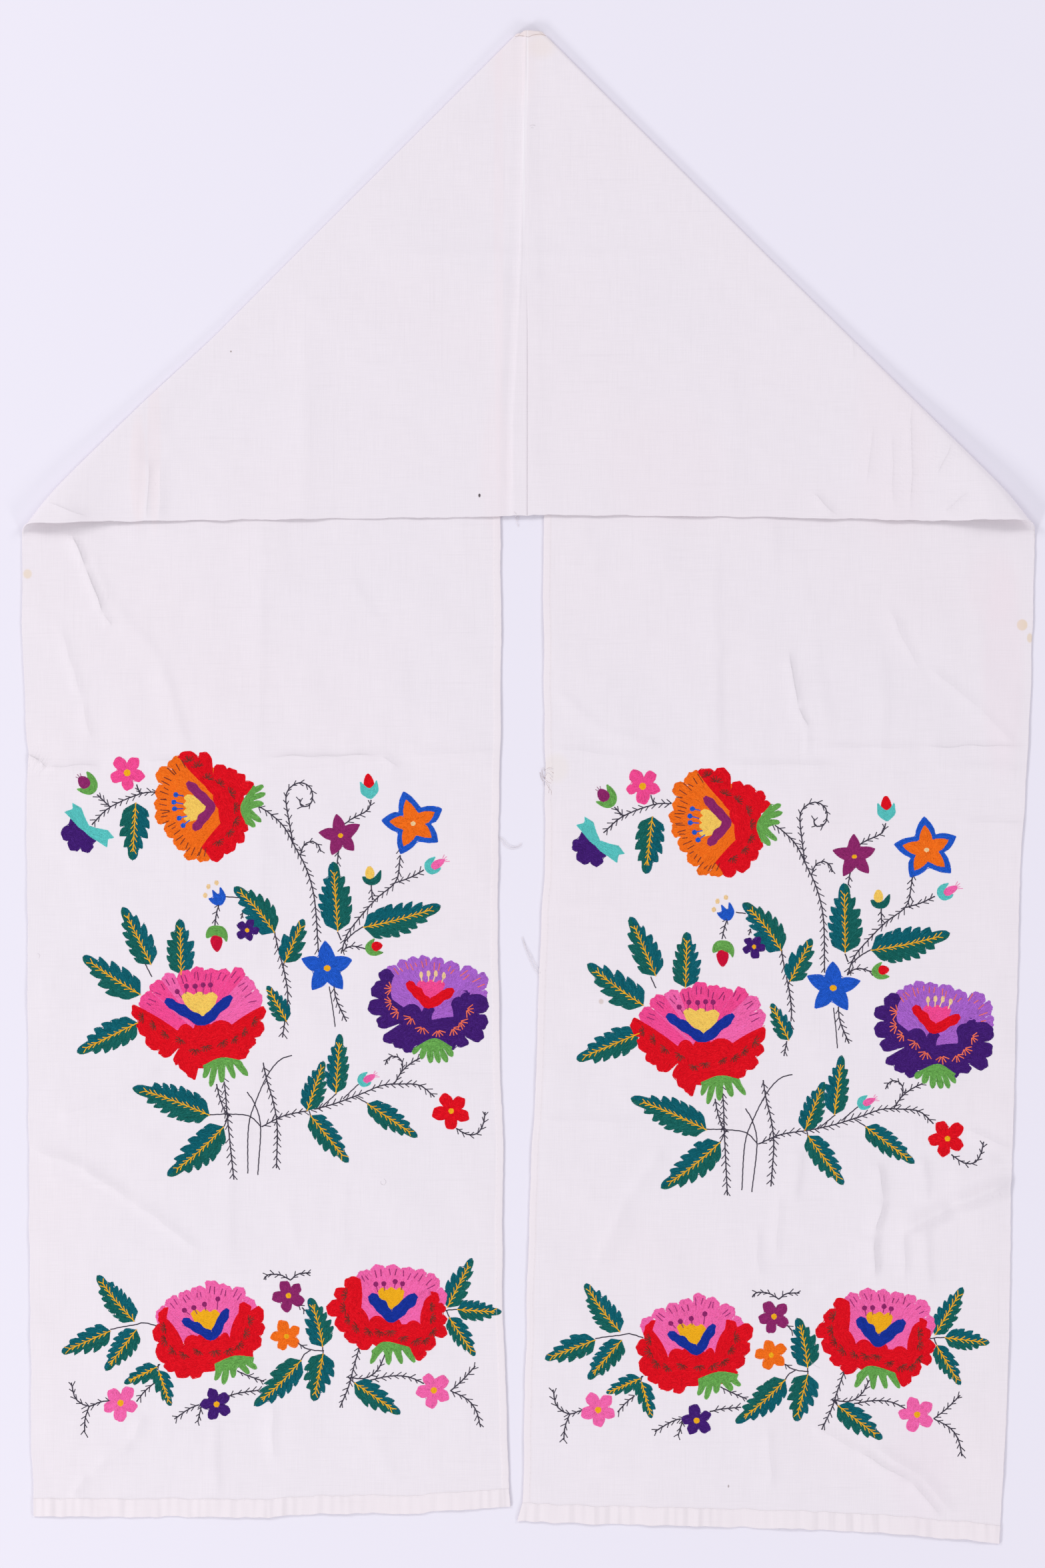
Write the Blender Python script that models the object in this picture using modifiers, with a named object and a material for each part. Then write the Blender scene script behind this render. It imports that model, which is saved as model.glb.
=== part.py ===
"""Rushnyk: a long embroidered ritual towel of white cotton, laid out on a flat surface.

Two lengths of cloth are sewn end to end with a lapped centre seam. Each length lies as a leg with its
right side up, turns over on a 45 degree fold and comes back as half of the gable-shaped top, wrong side up.
Metres, +Z up, the origin under the middle of the towel. Run in Blender 4.5.
"""

import math

import bmesh
import bpy

MM = 0.001

# ---- driving sizes ------------------------------------------------------------------------------------
CLOTH_THICK = 1.2 * MM  # the sheet, selvedge and weave included
HEM_THICK = 2.4 * MM  # two turns of the sheet at each foot
HEM_DEPTH = 16.0 * MM
HEM_STEP = 1.5 * MM  # how quickly the hem's extra thickness ends
LAYER_GAP = 0.8 * MM  # air between a leg and the layer folded over it
LAP_GAP = 0.35 * MM  # air between the two layers of the centre seam
ROOF_TOP = 2 * CLOTH_THICK + LAYER_GAP  # upper face of the folded-over layer
LAP_TOP = ROOF_TOP + CLOTH_THICK + LAP_GAP  # upper face where the left length laps over the right
LAP_RISE_FROM, LAP_RISE_TO = -36.0 * MM, -15.0 * MM  # where the left length climbs to the lap
TOP_EDGE_Y = 600.6 * MM  # the selvedge along the ridge of the gable
LIFT_REACH = 46.0 * MM  # how far the soft loop of a fold holds the layer up
RIDGE_HALF = 24.0 * MM  # half width of a main crease

COLUMNS = 16  # cells from selvedge to selvedge
LEG_ROWS, FOLD_ROWS, ROOF_ROWS = 34, 6, 12  # cells along each stretch

# ---- the outline, millimetres -------------------------------------------------------------------------
# Selvedges of the two legs at stations along Y.
LEG_COLUMNS = ("y", "left_outer", "left_inner", "right_inner", "right_outer")
LEG_EDGES = [
    (-590, -393.3, -15.0, -9.8, 374.8),
    (-514, -395.6, -17.2, -3.7, 379.2),
    (-381, -396.7, -21.2, -1.1, 382.9),
    (-275, -397.8, -20.7, 3.4, 385.6),
    (-169, -398.3, -23.9, 7.2, 387.7),
    (-37, -398.8, -24.1, 13.0, 393.0),
    (27, -397.8, -23.1, 13.0, 396.7),
    (117, -402.3, -22.0, 11.9, 400.2),
    (202, -403.1, -22.5, 11.9, 402.5),
    (600, -403.1, -10.9, 12.0, 402.5),
]

# Foot of each leg, from its inner selvedge (across 0) to its outer one (across 1).
FOOT_COLUMNS = ("across", "left_y", "right_y")
FOOT_EDGES = [
    (0.00, -572.7, -583.6),
    (0.08, -573.0, -584.4),
    (0.30, -577.4, -586.7),
    (0.56, -579.0, -589.6),
    (0.78, -579.8, -593.3),
    (1.00, -579.3, -601.0),
]

# Each 45 degree fold, from the apex (along 0) to the outer corner (along 1): how far the edge bows out of
# the straight line, and the radius of the turned cloth.
FOLD_COLUMNS = ("along", "left_bow", "left_radius", "right_bow", "right_radius")
FOLDS = [
    (0.00, 0.0, 2.40, 0.0, 1.60),
    (0.20, 0.4, 1.90, 0.8, 1.60),
    (0.45, 0.9, 1.70, 1.6, 1.80),
    (0.62, 0.8, 2.10, 2.8, 2.10),
    (0.75, 4.0, 2.70, 3.6, 2.80),
    (0.91, 4.8, 4.40, 3.4, 4.60),
    (1.00, 0.4, 5.50, 0.4, 5.80),
]
FOLD_LINES = {  # apex and outer corner of the straight line under each fold
    "left": ((-10.9, 597.4), (-403.1, 203.2)),
    "right": ((13.0, 597.8), (402.5, 205.4)),
}

# Lower selvedge of the gable, along X.
EAVES_COLUMNS = ("x", "y")
EAVES = [
    (-392, 210.9),
    (-355, 212.0),
    (-200, 213.0),
    (-30, 214.8),
    (0, 216.2),
    (110, 215.7),
    (310, 212.5),
    (388, 213.3),
]

# The ends of the two lengths at the centre seam: the left one on top, the right one under it.
SEAM_COLUMNS = ("y", "left_end", "right_end")
SEAM = [
    (600, -0.8, -4.9),
    (400, -1.0, -8.6),
    (214, -1.3, -12.4),
]

# Main creases of the legs: a soft ridge from one point to another.
CREASE_COLUMNS = ("x0", "y0", "x1", "y1", "height")
CREASES = [
    (-370, 112, -352, 46, 2.4),
    (-388, 24, -300, 20, 1.6),
    (-318, 24, -120, 26, 1.8),
    (-396, -286, -262, -368, 1.8),
    (-250, -508, -246, -575, 2.0),
    (-372, -566, -300, -506, 1.6),
    (14, 26, 90, 20, 1.6),
    (160, 18, 243, 18, 1.8),
    (256, 33, 392, 31, 2.2),
    (288, 150, 352, 64, 2.4),
    (280, -312, 280, -392, 2.4),
    (384, -314, 300, -350, 3.0),
    (250, -522, 322, -579, 2.2),
]


def named(rows, columns):
    return [dict(zip(columns, row)) for row in rows]


def read(rows, columns, at, name, value):
    """A column of a table at a value of another column, in straight steps between its rows."""
    table = sorted(named(rows, columns), key=lambda r: r[at])
    if value <= table[0][at]:
        return table[0][name]
    for low, high in zip(table, table[1:]):
        if value <= high[at]:
            share = (value - low[at]) / (high[at] - low[at])
            return low[name] + share * (high[name] - low[name])
    return table[-1][name]


def smooth(x):
    x = min(1.0, max(0.0, x))
    return x * x * (3 - 2 * x)


def leg_x(side, y, v):
    """X on a leg at height y, v from its inner selvedge (0) to its outer one (1)."""
    inner = read(LEG_EDGES, LEG_COLUMNS, "y", side + "_inner", y / MM)
    outer = read(LEG_EDGES, LEG_COLUMNS, "y", side + "_outer", y / MM)
    return (inner + v * (outer - inner)) * MM


def fold_line(side, along):
    """A point on the centre line of a fold, apex 0 to outer corner 1, with the fold's direction away from the
    outer corner, the outward direction and the radius there."""
    (ax, ay), (cx, cy) = FOLD_LINES[side]
    bow = read(FOLDS, FOLD_COLUMNS, "along", side + "_bow", along)
    radius = read(FOLDS, FOLD_COLUMNS, "along", side + "_radius", along) * MM
    length = math.hypot(ax - cx, ay - cy)
    up = ((ax - cx) / length, (ay - cy) / length)
    out = (-up[1], up[0]) if side == "left" else (up[1], -up[0])
    x = (ax + along * (cx - ax) + bow * out[0]) * MM - radius * out[0]
    y = (ay + along * (cy - ay) + bow * out[1]) * MM - radius * out[1]
    return (x, y), up, out, radius


def fold_point(side, v):
    """The point of fold_line where the column v of the leg meets it."""
    (ax, _), (cx, _) = FOLD_LINES[side]
    along = v
    for _ in range(8):
        (x, y), _, _, _ = fold_line(side, along)
        along += (leg_x(side, y, v) - x) / ((cx - ax) * MM)
    return fold_line(side, along)


def crease_height(x, y):
    """The creases' ridges, each with a cosine section that fades at both ends and is exactly flat beyond."""
    z = 0.0
    for c in named(CREASES, CREASE_COLUMNS):
        ax, ay, bx, by = (c[k] * MM for k in ("x0", "y0", "x1", "y1"))
        dx, dy = bx - ax, by - ay
        s = ((x - ax) * dx + (y - ay) * dy) / (dx * dx + dy * dy)
        near = min(1.0, max(0.0, s))
        d = math.hypot(x - ax - near * dx, y - ay - near * dy)
        if d < RIDGE_HALF:
            z = max(z, c["height"] * MM * 0.5 * (1 + math.cos(math.pi * d / RIDGE_HALF)))
    return z


def leg_path(side, v):
    """Points of one column from the foot to where the fold starts, each with its share of full thickness."""
    (_, fy), _, _, _ = fold_point(side, v)
    foot = read(FOOT_EDGES, FOOT_COLUMNS, "across", side + "_y", v) * MM
    stations = [foot, foot + HEM_DEPTH / 2, foot + HEM_DEPTH, foot + HEM_DEPTH + HEM_STEP]
    start = stations[-1]
    stations += [start + (fy - start) * (i + 1) / LEG_ROWS for i in range(LEG_ROWS)]
    points = []
    for i, y in enumerate(stations):
        x = leg_x(side, y, v)
        points.append(((x, y, crease_height(x, y)), 1.0 if i < 3 else CLOTH_THICK / HEM_THICK))
    return points


def fold_path(side, v):
    """The half turn over the fold. Going round by an angle also carries the cloth along the fold, because the
    thread runs at 45 degrees to it."""
    (x, y), up, out, radius = fold_point(side, v)
    points = []
    for i in range(1, FOLD_ROWS + 1):
        a = math.pi * i / FOLD_ROWS
        go, push = radius * a, radius * math.sin(a)
        points.append(
            (
                (
                    x + up[0] * go + out[0] * push,
                    y + up[1] * go + out[1] * push,
                    radius * (1 - math.cos(a)),
                ),
                CLOTH_THICK / HEM_THICK,
            )
        )
    return points


def roof_path(side, v):
    """From the end of the fold to the centre seam, with the soft loop's lift dying away from the fold."""
    (x0, y0, z0), _ = fold_path(side, v)[-1]
    end_y = TOP_EDGE_Y + v * (read(EAVES, EAVES_COLUMNS, "x", "y", 0) * MM - TOP_EDGE_Y)
    end_x = read(SEAM, SEAM_COLUMNS, "y", side + "_end", end_y / MM) * MM

    def grain(x):
        return TOP_EDGE_Y + v * (read(EAVES, EAVES_COLUMNS, "x", "y", x / MM) * MM - TOP_EDGE_Y)

    # The last two rows stand where the left length climbs to the lap, or closer where the roof is narrow.
    run = end_x - x0
    foot_of_climb = 1 - min(0.8, (end_x - LAP_RISE_FROM) / abs(run))
    top_of_climb = 1 - min(0.5, (end_x - LAP_RISE_TO) / abs(run))
    if side == "right":
        foot_of_climb, top_of_climb = 1 - 2 / ROOF_ROWS, 1 - 1 / ROOF_ROWS
    shares = [foot_of_climb * (i + 1) / (ROOF_ROWS - 2) for i in range(ROOF_ROWS - 2)]
    points = []
    for t in shares + [top_of_climb, 1.0]:
        x = x0 + t * run
        y = grain(x) + (y0 - grain(x0)) * (1 - t) ** 2
        z = ROOF_TOP + (z0 - ROOF_TOP) * math.exp(-((abs(x - x0) / LIFT_REACH) ** 1.4))
        if side == "left":
            climb = smooth((x - LAP_RISE_FROM) / (LAP_RISE_TO - LAP_RISE_FROM))
            z = max(z, ROOF_TOP + climb * (LAP_TOP - ROOF_TOP))
        points.append(((x, y, z), CLOTH_THICK / HEM_THICK))
    return points


def make_material(name, colour, roughness):
    material = bpy.data.materials.new(name)
    material.use_nodes = True
    shader = material.node_tree.nodes["Principled BSDF"]
    shader.inputs["Base Color"].default_value = (*colour, 1.0)
    shader.inputs["Roughness"].default_value = roughness
    shader.inputs["Metallic"].default_value = 0.0
    return material


def make_length(name, side, collection, material):
    """One length of cloth: a flat grid folded column by column, then given its thickness."""
    columns = [
        leg_path(side, j / COLUMNS) + fold_path(side, j / COLUMNS) + roof_path(side, j / COLUMNS)
        for j in range(COLUMNS + 1)
    ]
    rows = len(columns[0]) - 1
    bm = bmesh.new()
    bmesh.ops.create_grid(bm, x_segments=COLUMNS, y_segments=rows, size=0.5)
    mesh = bpy.data.meshes.new(name)
    bm.to_mesh(mesh)
    bm.free()
    thickness = []
    for vertex in mesh.vertices:
        j = round((vertex.co.x + 0.5) * COLUMNS)
        i = round((vertex.co.y + 0.5) * rows)
        place, share = columns[j][i]
        vertex.co = place
        thickness.append(share)
    if side == "left":
        mesh.flip_normals()
    mesh.materials.append(material)
    mesh.shade_smooth()

    piece = bpy.data.objects.new(name, mesh)
    collection.objects.link(piece)
    group = piece.vertex_groups.new(name="thickness")
    for index, share in enumerate(thickness):
        group.add([index], share, "REPLACE")
    solid = piece.modifiers.new("Thickness", "SOLIDIFY")
    solid.thickness = HEM_THICK
    solid.offset = 1.0
    solid.vertex_group = "thickness"
    solid.use_rim = True
    return piece


def main():
    for old in list(bpy.data.objects):
        bpy.data.objects.remove(old, do_unlink=True)
    collection = bpy.data.collections.new("rushnyk")
    bpy.context.scene.collection.children.link(collection)
    base = bpy.data.objects.new("rushnyk_base", None)
    collection.objects.link(base)
    for name, side, tint in (
        ("cloth_left", "left", (0.840, 0.800, 0.818)),
        ("cloth_right", "right", (0.842, 0.798, 0.822)),
    ):
        piece = make_length(name, side, collection, make_material(name, tint, 0.9))
        piece.parent = base
    # The origin goes under the middle of the two lengths together.
    xs, ys = [], []
    for piece in base.children:
        xs += [v.co.x for v in piece.data.vertices]
        ys += [v.co.y for v in piece.data.vertices]
    middle = ((min(xs) + max(xs)) / 2, (min(ys) + max(ys)) / 2)
    for piece in base.children:
        for v in piece.data.vertices:
            v.co.x -= middle[0]
            v.co.y -= middle[1]


main()
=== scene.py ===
"""Rushnyk, the looks: two lengths of white cotton with their folds and creases, and the satin and running
stitches of the embroidery as real thread. Metres, +Z up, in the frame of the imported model."""

import math
import random

import bmesh
import bpy
import numpy as np
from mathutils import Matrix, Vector
from mathutils.bvhtree import BVHTree


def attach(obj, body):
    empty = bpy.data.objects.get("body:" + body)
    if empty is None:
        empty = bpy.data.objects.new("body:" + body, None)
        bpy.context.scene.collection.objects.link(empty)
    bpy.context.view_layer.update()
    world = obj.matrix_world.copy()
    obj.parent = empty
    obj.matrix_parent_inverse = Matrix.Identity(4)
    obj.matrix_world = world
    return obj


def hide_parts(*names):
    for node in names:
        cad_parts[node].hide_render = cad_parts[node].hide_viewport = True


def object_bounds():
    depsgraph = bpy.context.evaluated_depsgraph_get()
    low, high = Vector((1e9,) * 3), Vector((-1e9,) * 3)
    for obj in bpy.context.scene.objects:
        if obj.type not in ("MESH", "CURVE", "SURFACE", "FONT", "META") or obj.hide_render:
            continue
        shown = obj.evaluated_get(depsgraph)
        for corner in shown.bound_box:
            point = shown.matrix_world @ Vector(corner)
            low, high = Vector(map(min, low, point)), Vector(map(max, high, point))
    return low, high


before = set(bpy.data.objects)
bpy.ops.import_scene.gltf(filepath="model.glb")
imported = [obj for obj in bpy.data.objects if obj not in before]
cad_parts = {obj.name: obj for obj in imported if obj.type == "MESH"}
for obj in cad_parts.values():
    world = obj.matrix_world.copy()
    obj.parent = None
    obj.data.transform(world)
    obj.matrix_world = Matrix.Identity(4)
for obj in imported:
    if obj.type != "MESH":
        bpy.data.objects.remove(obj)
CAD_LO, CAD_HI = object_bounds()
MM = 0.001
SEED = 20240

# ---- the chart ----------------------------------------------------------------------------------------
# Places on the towel are read on a chart laid over the CAD box: x to the right, y down, 1520 units wide.
CHART_LEFT, CHART_TOP, CHART_WIDE = 33.0, 47.3, 1520.0
UNIT = (CAD_HI.x - CAD_LO.x) / CHART_WIDE  # metres to one chart unit, about 0.53 mm
UMM = UNIT / MM


def wx(x):
    return CAD_LO.x + (np.asarray(x, float) - CHART_LEFT) * UNIT


def wy(y):
    return CAD_HI.y - (np.asarray(y, float) - CHART_TOP) * UNIT


def cx(x):
    return CHART_LEFT + (np.asarray(x, float) - CAD_LO.x) / UNIT


def cy(y):
    return CHART_TOP + (CAD_HI.y - np.asarray(y, float)) / UNIT


def smooth(t):
    t = np.clip(t, 0.0, 1.0)
    return t * t * (3 - 2 * t)


# ---- cloth: sizes ---------------------------------------------------------------------------------------
CLOTH = 0.55 * MM  # one thickness of the cotton
HEM_DEEP = 28.0  # chart units
REST_GAP = 0.30 * MM  # the cloth never lies dead flat
ROOF_Z = 2.55 * MM  # upper face of the folded-over layer

# Selvedges of the legs, (y, x) in chart units.
EDGES = {
    "left_outer": [(40, 32), (800, 33), (860, 34), (940, 33), (1060, 38), (1120, 41), (1131, 43.5), (1142, 41),
                   (1200, 40), (1500, 42), (1700, 43), (1900, 45), (2150, 47), (2273, 51)],
    "left_inner": [(56, 773), (784, 751), (1084, 752), (1129, 750), (1234, 748), (1409, 747), (1568, 750),
                   (1718, 755), (1968, 754), (2118, 760), (2233, 764), (2262, 766)],
    "right_inner": [(50, 816), (784, 816), (934, 815), (1154, 818), (1284, 818), (1359, 814), (1459, 809),
                    (1568, 806), (1618, 804), (1768, 796), (1918, 791), (2168, 786), (2253, 784), (2281, 776)],
    "right_outer": [(40, 1553), (796, 1553), (949, 1549), (1109, 1544), (1154, 1540), (1234, 1536), (1309, 1530),
                    (1384, 1529), (1568, 1523), (1718, 1520), (1768, 1518), (1779, 1515), (1792, 1517),
                    (1868, 1516), (2018, 1514), (2143, 1509), (2312, 1500)],
}
# Foot of each leg, (across from the inner selvedge, y).
FOOT = {
    "left": [(0.0, 2262), (0.05, 2261), (0.2, 2270), (0.37, 2270), (0.54, 2277), (0.63, 2275), (0.8, 2275), (1.0, 2274)],
    "right": [(0.0, 2282), (0.15, 2285), (0.29, 2288), (0.57, 2293), (0.78, 2300), (0.92, 2309), (1.0, 2315)],
}
# Folds: the straight line, then (along, bow in mm, radius in mm).
FOLD_LINE = {"left": ((772.9, 53.8), (33.0, 797.6)), "right": ((818.0, 53.1), (1553.0, 793.5))}
FOLD = {
    "left": [(0.0, 0.0, 2.2), (0.2, 0.4, 1.8), (0.45, 0.9, 1.6), (0.62, 0.8, 2.0), (0.75, 4.0, 2.6),
             (0.91, 5.2, 4.4), (0.965, 4.6, 5.1), (1.0, 0.4, 5.5)],
    "right": [(0.0, 0.0, 2.2), (0.2, 0.8, 1.7), (0.45, 1.6, 1.7), (0.62, 2.8, 2.0), (0.75, 3.6, 2.7),
              (0.91, 4.6, 4.6), (0.965, 4.4, 5.3), (1.0, 0.4, 5.8)],
}
EAVES = [(33, 786), (58, 783), (71, 784.5), (125, 781), (140, 782), (220, 780.5), (300, 780), (420, 779), (600, 777),
         (740, 776), (772, 773), (810, 773), (1000, 774), (1250, 777), (1380, 780), (1523, 778), (1553, 780)]
RIDGE_Y = 47.8
SEAM = [(47, 791.8, 785.0), (420, 791.4, 777.0), (780, 791.0, 770.0)]  # y, left end (on top), right end
LAP = [(47, 788.0), (200, 785.0), (380, 781.0), (520, 775.0), (640, 769.0), (780, 769.0)]  # where the lap starts

# Creases: x0, y0, x1, y1, height in mm, half width in units, lean (-1..1: how much steeper one side is).
CREASES = [
    # left leg
    (108, 803, 128, 850, 0.95, 7, 0.5), (128, 850, 155, 921, 0.90, 7, 0.5), (155, 921, 168, 938, 0.50, 6, 0.3),
    (138, 829, 167, 902, 0.30, 7, 0.2), (170, 905, 241, 992, 0.20, 14, 0.8), (241, 992, 281, 1124, 0.30, 14, 0.8),
    (92, 945, 124, 1052, 0.36, 8, 0.5), (124, 1052, 137, 1108, 0.38, 8, 0.5),
    (392, 800, 391, 1080, 0.18, 13, 0.7), (526, 872, 577, 947, 0.17, 13, 0.7), (600, 980, 612, 1110, 0.12, 16, 0.5),
    (42, 1132, 60, 1141, 1.00, 7, 0.6), (60, 1141, 68, 1150, 0.70, 7, 0.5), (68, 1150, 148, 1148, 0.72, 7, 0.5), (218, 1142, 256, 1140, 0.45, 7, 0.5),
    (398, 1136, 572, 1133, 0.80, 6, 0.7), (370, 1150, 520, 1148, 0.36, 8, -0.5), (572, 1134, 597, 1150, 0.45, 7, 0.3),
    (611, 1134, 748, 1126, 0.45, 8, 0.4),
    (392, 1180, 388, 1452, 0.12, 13, 0.5),
    (90, 1674, 164, 1649, 0.50, 10, 0.4), (164, 1649, 239, 1602, 0.50, 10, 0.4), (114, 1722, 234, 1700, 0.18, 13, 0.4),
    (45, 1722, 119, 1749, 0.60, 8, -0.4), (119, 1749, 194, 1799, 0.62, 8, -0.4), (194, 1799, 298, 1874, 0.50, 9, -0.3),
    (300, 1718, 640, 1718, 0.14, 14, 0.2), (343, 1752, 345, 1900, 0.16, 13, 0.7), (430, 1809, 446, 1872, 0.30, 7, 0.2),
    (515, 1774, 516, 1870, 0.15, 13, 0.7),
    (108, 2246, 129, 2212, 0.50, 9, 0.4), (129, 2212, 199, 2160, 0.55, 9, 0.4), (199, 2160, 214, 2124, 0.40, 9, 0.4),
    (322, 2134, 325, 2240, 0.30, 8, 0.3), (409, 2104, 410, 2188, 0.42, 9, 0.5), (560, 2150, 600, 2238, 0.12, 16, 0.4),
    # right leg
    (1074, 815, 1074, 930, 0.12, 14, 0.8), (1074, 930, 1076, 1152, 0.30, 14, 0.8), (1158, 785, 1164, 868, 0.14, 11, 0.6),
    (835, 1034, 904, 1096, 0.24, 11, 0.8), (904, 1096, 993, 1121, 0.24, 11, 0.8), (825, 1124, 960, 1134, 0.45, 8, 0.4),
    (1184, 978, 1197, 1060, 0.80, 7, 0.6), (1197, 1060, 1213, 1090, 0.80, 7, 0.6), (1213, 1090, 1209, 1137, 0.36, 8, 0.4),
    (1219, 944, 1243, 1100, 0.18, 13, 0.7), (1333, 914, 1381, 1008, 0.45, 8, 0.4), (1395, 1003, 1470, 1063, 0.45, 8, 0.4),
    (1470, 1063, 1519, 1112, 0.36, 8, 0.4), (1324, 985, 1323, 1142, 0.20, 13, 0.7),
    (1092, 1148, 1254, 1146, 0.55, 8, 0.5), (1222, 1121, 1380, 1121, 0.50, 8, 0.5), (1380, 1121, 1537, 1119, 0.72, 7, 0.6),
    (1404, 1153, 1539, 1151, 0.50, 8, -0.4), (1440, 1235, 1534, 1233, 0.50, 8, 0.3),
    (806, 1361, 930, 1357, 0.26, 10, 0.2), (800, 1680, 950, 1682, 0.42, 10, 0.4), (1447, 1692, 1517, 1722, 0.55, 8, 0.3),
    (993, 1722, 946, 1789, 0.38, 13, -0.7), (946, 1789, 893, 1900, 0.38, 13, -0.7), (1200, 1724, 1191, 1800, 0.42, 12, 0.8),
    (1170, 1789, 1163, 1888, 0.36, 8, 0.4), (1137, 1838, 1140, 1916, 0.34, 8, 0.3),
    (1317, 1745, 1325, 1800, 0.80, 10, 0.8), (1325, 1800, 1312, 1850, 1.00, 10, 0.8), (1312, 1850, 1312, 1914, 1.00, 10, 0.8),
    (1356, 1835, 1357, 1916, 0.62, 10, 0.8), (1384, 1735, 1388, 1800, 0.50, 11, 0.7), (1388, 1838, 1394, 1930, 0.40, 11, 0.7),
    (1519, 1771, 1425, 1809, 1.35, 12, 0.35), (1425, 1809, 1358, 1844, 1.30, 12, 0.35), (1498, 1736, 1430, 1770, 0.50, 12, 0.5), (1227, 1936, 1306, 1893, 0.34, 9, 0.3),
    (1217, 2136, 1286, 2176, 0.50, 9, 0.4), (1286, 2176, 1366, 2221, 0.95, 8, 0.4), (1366, 2221, 1410, 2272, 0.75, 8, 0.4),
    (1312, 2172, 1380, 2212, 0.55, 8, -0.2), (1380, 2212, 1428, 2266, 0.45, 9, -0.2), (1153, 2141, 1155, 2232, 0.36, 8, 0.4),
    (1450, 860, 1490, 1060, 0.12, 16, 0.4), (870, 1960, 876, 2060, 0.10, 14, 0.3),
]
ROOF_CREASES = [
    (224, 690, 221, 781, 0.50, 5, 0.5), (241, 700, 239, 781, 0.42, 5, -0.4), (207, 620, 205, 770, 0.30, 9, 0.0),
    (350, 540, 258, 642, -0.40, 12, 0.3), (75, 755, 132, 776, 0.60, 6, 0.4), (460, 500, 455, 770, 0.20, 16, 0.0),
    (1277, 508, 1281, 541, 0.35, 5, 0.3), (1367, 600, 1366, 772, 0.50, 6, 0.4), (1338, 650, 1339, 762, 0.40, 6, 0.3),
    (1310, 640, 1300, 722, 0.40, 7, 0.3), (1427, 664, 1405, 712, 0.60, 6, 0.4), (1222, 740, 1251, 772, 0.60, 6, 0.4),
    (1415, 770, 1451, 740, 0.60, 6, 0.3), (560, 384, 1010, 382, 0.20, 12, 0.2), (755, 380, 750, 770, 0.22, 12, 0.0),
    (806, 300, 806, 770, 0.16, 8, 0.0), (1100, 520, 1096, 770, 0.16, 16, 0.0),
]
# Where the lower selvedge of the roof lifts: x from, x to, height in mm.
EAVES_LIFTS = [(30, 160, 2.6), (1425, 1560, 2.6), (216, 256, 0.9), (300, 360, 0.35), (415, 485, 0.6), (700, 766, 0.7), (795, 845, 0.8), (980, 1060, 0.3),
               (1214, 1260, 1.1), (1314, 1370, 1.1)]


class Field:
    """A seeded, smooth, uneven height field: a sum of plane waves of about one length."""

    def __init__(self, length, amplitude, seed, count=26):
        rng = np.random.default_rng(SEED + seed)
        turn = rng.uniform(0, 2 * math.pi, count)
        size = 2 * math.pi / (length * rng.uniform(0.7, 1.5, count))
        self.k = np.stack([np.cos(turn) * size, np.sin(turn) * size])
        self.p = rng.uniform(0, 2 * math.pi, count)
        self.a = amplitude * math.sqrt(2.0 / count)

    def __call__(self, x, y):
        x, y = np.asarray(x, float), np.asarray(y, float)
        out = np.zeros(np.broadcast(x, y).shape)
        for (kx, ky), p in zip(self.k.T, self.p):
            out += np.cos(kx * x + ky * y + p)
        return out * self.a


SWELL, RIPPLE, GRAIN = Field(130, 0.30, 1), Field(46, 0.085, 2), Field(21, 0.022, 3)
ROOF_SWELL, ROOF_RIPPLE = Field(150, 0.22, 4), Field(50, 0.07, 5)
WANDER = Field(60, 2.2, 6)


def crease_sum(rows, x, y):
    """Creases in mm at chart points: each a soft ridge or trough whose line wanders a little and fades at its ends."""
    z = np.zeros(np.broadcast(x, y).shape)
    for i, (x0, y0, x1, y1, height, half, lean) in enumerate(rows):
        length = math.hypot(x1 - x0, y1 - y0)
        tx, ty = (x1 - x0) / length, (y1 - y0) / length
        s = (x - x0) * tx + (y - y0) * ty
        d = (x - x0) * -ty + (y - y0) * tx
        d = d + WANDER(s * 1.0 + 300 * i, 0 * s) * 0.35 * smooth(s / 20) * smooth((length - s) / 20)
        wide = half * (1 + lean * np.tanh(d / half * 2) * 0.55)
        height = height * (2.1 if half <= 7 else 3.1 if half <= 10 else 4.4)
        fade = smooth((s + 0.12 * length) / (0.30 * length + 1)) * smooth((1.12 * length - s) / (0.30 * length + 1))
        z += height * np.exp(-((np.abs(d) / wide) ** 1.5)) * fade
    return z


def fold_layers(rows, x, y, count=3):
    """For the sharp lines in the middle of the creases: signed distance to a crease and its height there, in as
    many layers as keep neighbouring creases apart."""
    layers = [np.zeros((3,) + np.shape(x)) for _ in range(count)]
    best = [np.zeros(np.shape(x)) for _ in range(count)]
    for i, (x0, y0, x1, y1, height, half, lean) in enumerate(rows):
        if abs(height) < 0.34 or half > 10:
            continue
        length = math.hypot(x1 - x0, y1 - y0)
        tx, ty = (x1 - x0) / length, (y1 - y0) / length
        s = (x - x0) * tx + (y - y0) * ty
        d = (x - x0) * -ty + (y - y0) * tx
        d = d + WANDER(s * 1.0 + 300 * i, 0 * s) * 0.35 * smooth(s / 20) * smooth((length - s) / 20)
        fade = smooth((s + 0.05 * length) / (0.25 * length + 1)) * smooth((1.05 * length - s) / (0.25 * length + 1))
        here = abs(height) * (1.0 if half <= 7 else 0.55) * fade * (1 - smooth((np.abs(d) - 8) / 7))
        k = i % count
        mine = here > best[k]
        best[k] = np.where(mine, here, best[k])
        layers[k][0] = np.where(mine, d * (1 if lean >= 0 else -1), layers[k][0])
        layers[k][1] = np.where(mine, here * (1 if height > 0 else -1), layers[k][1])
    return layers


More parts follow.
